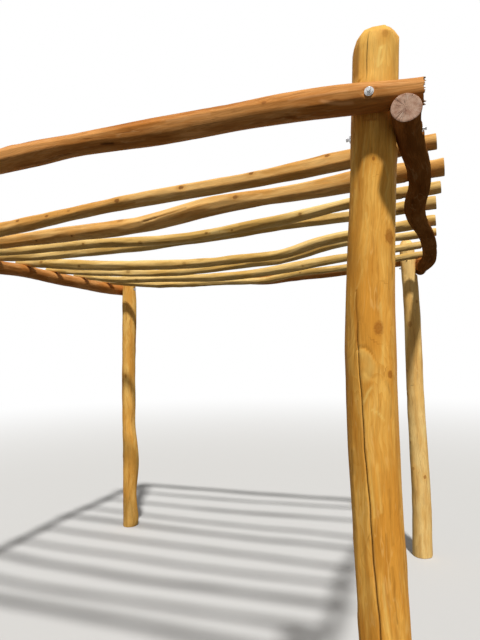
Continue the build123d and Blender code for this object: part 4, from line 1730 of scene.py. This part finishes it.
@dataclass(frozen=True)
class Studio:
    """Floor, lights and camera."""

    eye: Point = (1.3855, -2.8655, 1.604)
    turn: float = 20.0           # degrees to the left of the pergola's depth
    pitch: float = 3.042
    roll: float = -1.234
    lens: float = 28.84
    sun_way: Point = (0.2568, -0.5213, 1.0)
    sun_strength: float = 4.1
    sun_size: float = 4.0        # degrees across
    sky_strength: float = 0.23
    floor_size: float = 80.0
    floor_tone: Colour = (0.52, 0.51, 0.49, 1.0)
    floor_bounce: Colour = (0.08, 0.077, 0.07, 1.0)
    fade: tuple[float, float] = (3.5, 14.0)    # distances between which the floor turns white

    def camera(self) -> None:
        """Camera at the height and the angle of a standing person's view."""
        turn, pitch, roll = (math.radians(value) for value in (self.turn, self.pitch, self.roll))
        ahead = Vector((-math.sin(turn) * math.cos(pitch), math.cos(turn) * math.cos(pitch), math.sin(pitch)))
        level = Vector((math.cos(turn), math.sin(turn), 0))
        upward = level.cross(ahead)
        right = math.cos(roll) * level + math.sin(roll) * upward
        above = -math.sin(roll) * level + math.cos(roll) * upward
        data = bpy.data.cameras.new("camera")
        data.lens = self.lens
        data.sensor_width = 36
        camera = new_object("camera", data)
        turned = Matrix((right, above, -ahead)).transposed().to_4x4()
        camera.matrix_world = Matrix.Translation(self.eye) @ turned
        bpy.context.scene.camera = camera

    def seen(self, tree: Tree) -> Socket:
        """1 for what the camera and reflections see, 0 for light on its way."""
        path = tree.node("ShaderNodeLightPath").outputs
        return tree.math("MAXIMUM", path["Is Camera Ray"], path["Is Glossy Ray"])

    def floor(self) -> None:
        """Plain pale floor that keeps the pergola's shadow and fades to white far away."""
        half = self.floor_size / 2
        corners = [(-half, -half, 0), (half, -half, 0), (half, half, 0), (-half, half, 0)]
        mesh = bpy.data.meshes.new("floor")
        mesh.from_pydata(corners, [], [(0, 1, 2, 3)])
        material, tree, shader = new_material("floor")
        seen = self.seen(tree)
        tone = tree.mix(seen, self.floor_bounce, self.floor_tone)
        tree.feed(shader, {"Base Color": tone, "Roughness": 0.9})
        far = tree.length(tree.node("ShaderNodeTexCoord").outputs["Object"])
        share = tree.times(tree.ramp(far, *self.fade), seen)
        white = tree.node("ShaderNodeEmission", {"Color": (1, 1, 1, 1), "Strength": 1.0})
        both = tree.node("ShaderNodeMixShader", {0: share, 1: shader.outputs[0], 2: white.outputs[0]})
        tree.feed(material.node_tree.nodes["Material Output"], {"Surface": both.outputs[0]})
        mesh.materials.append(material)
        floor = new_object("floor", mesh)
        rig.stage(floor)

    def lights(self) -> None:
        """One high key light and an even pale sky."""
        data = bpy.data.lights.new("key", "SUN")
        data.energy = self.sun_strength
        data.angle = math.radians(self.sun_size)
        key = new_object("key", data)
        key.rotation_euler = Vector(self.sun_way).to_track_quat("Z", "Y").to_euler()
        world = bpy.data.worlds.new("world")
        world.use_nodes = True
        tree = Tree(world.node_tree)
        rest = 1.0 - self.sky_strength
        strength = tree.math("MULTIPLY_ADD", self.seen(tree), rest, self.sky_strength)
        tree.feed(world.node_tree.nodes["Background"], {"Color": (1.0, 1.0, 1.0, 1), "Strength": strength})
        bpy.context.scene.world = world

    def build(self) -> None:
        """Set up the studio."""
        self.camera()
        self.floor()
        self.lights()
        bpy.context.scene.view_settings.view_transform = "Standard"


def main() -> None:
    """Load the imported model, dress it and set up the studio."""
    logging.basicConfig(level=logging.INFO, format="%(name)s: %(message)s")
    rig.load()
    solid_box = [list(corner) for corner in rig.bounds()]
    Pergola().build()
    Studio().build()
    dressed_box = [list(corner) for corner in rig.bounds()]
    with open("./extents.json", "w", encoding="utf-8") as file:
        json.dump({"solids": solid_box, "dressed": dressed_box}, file)


if __name__ == "__main__":
    main()
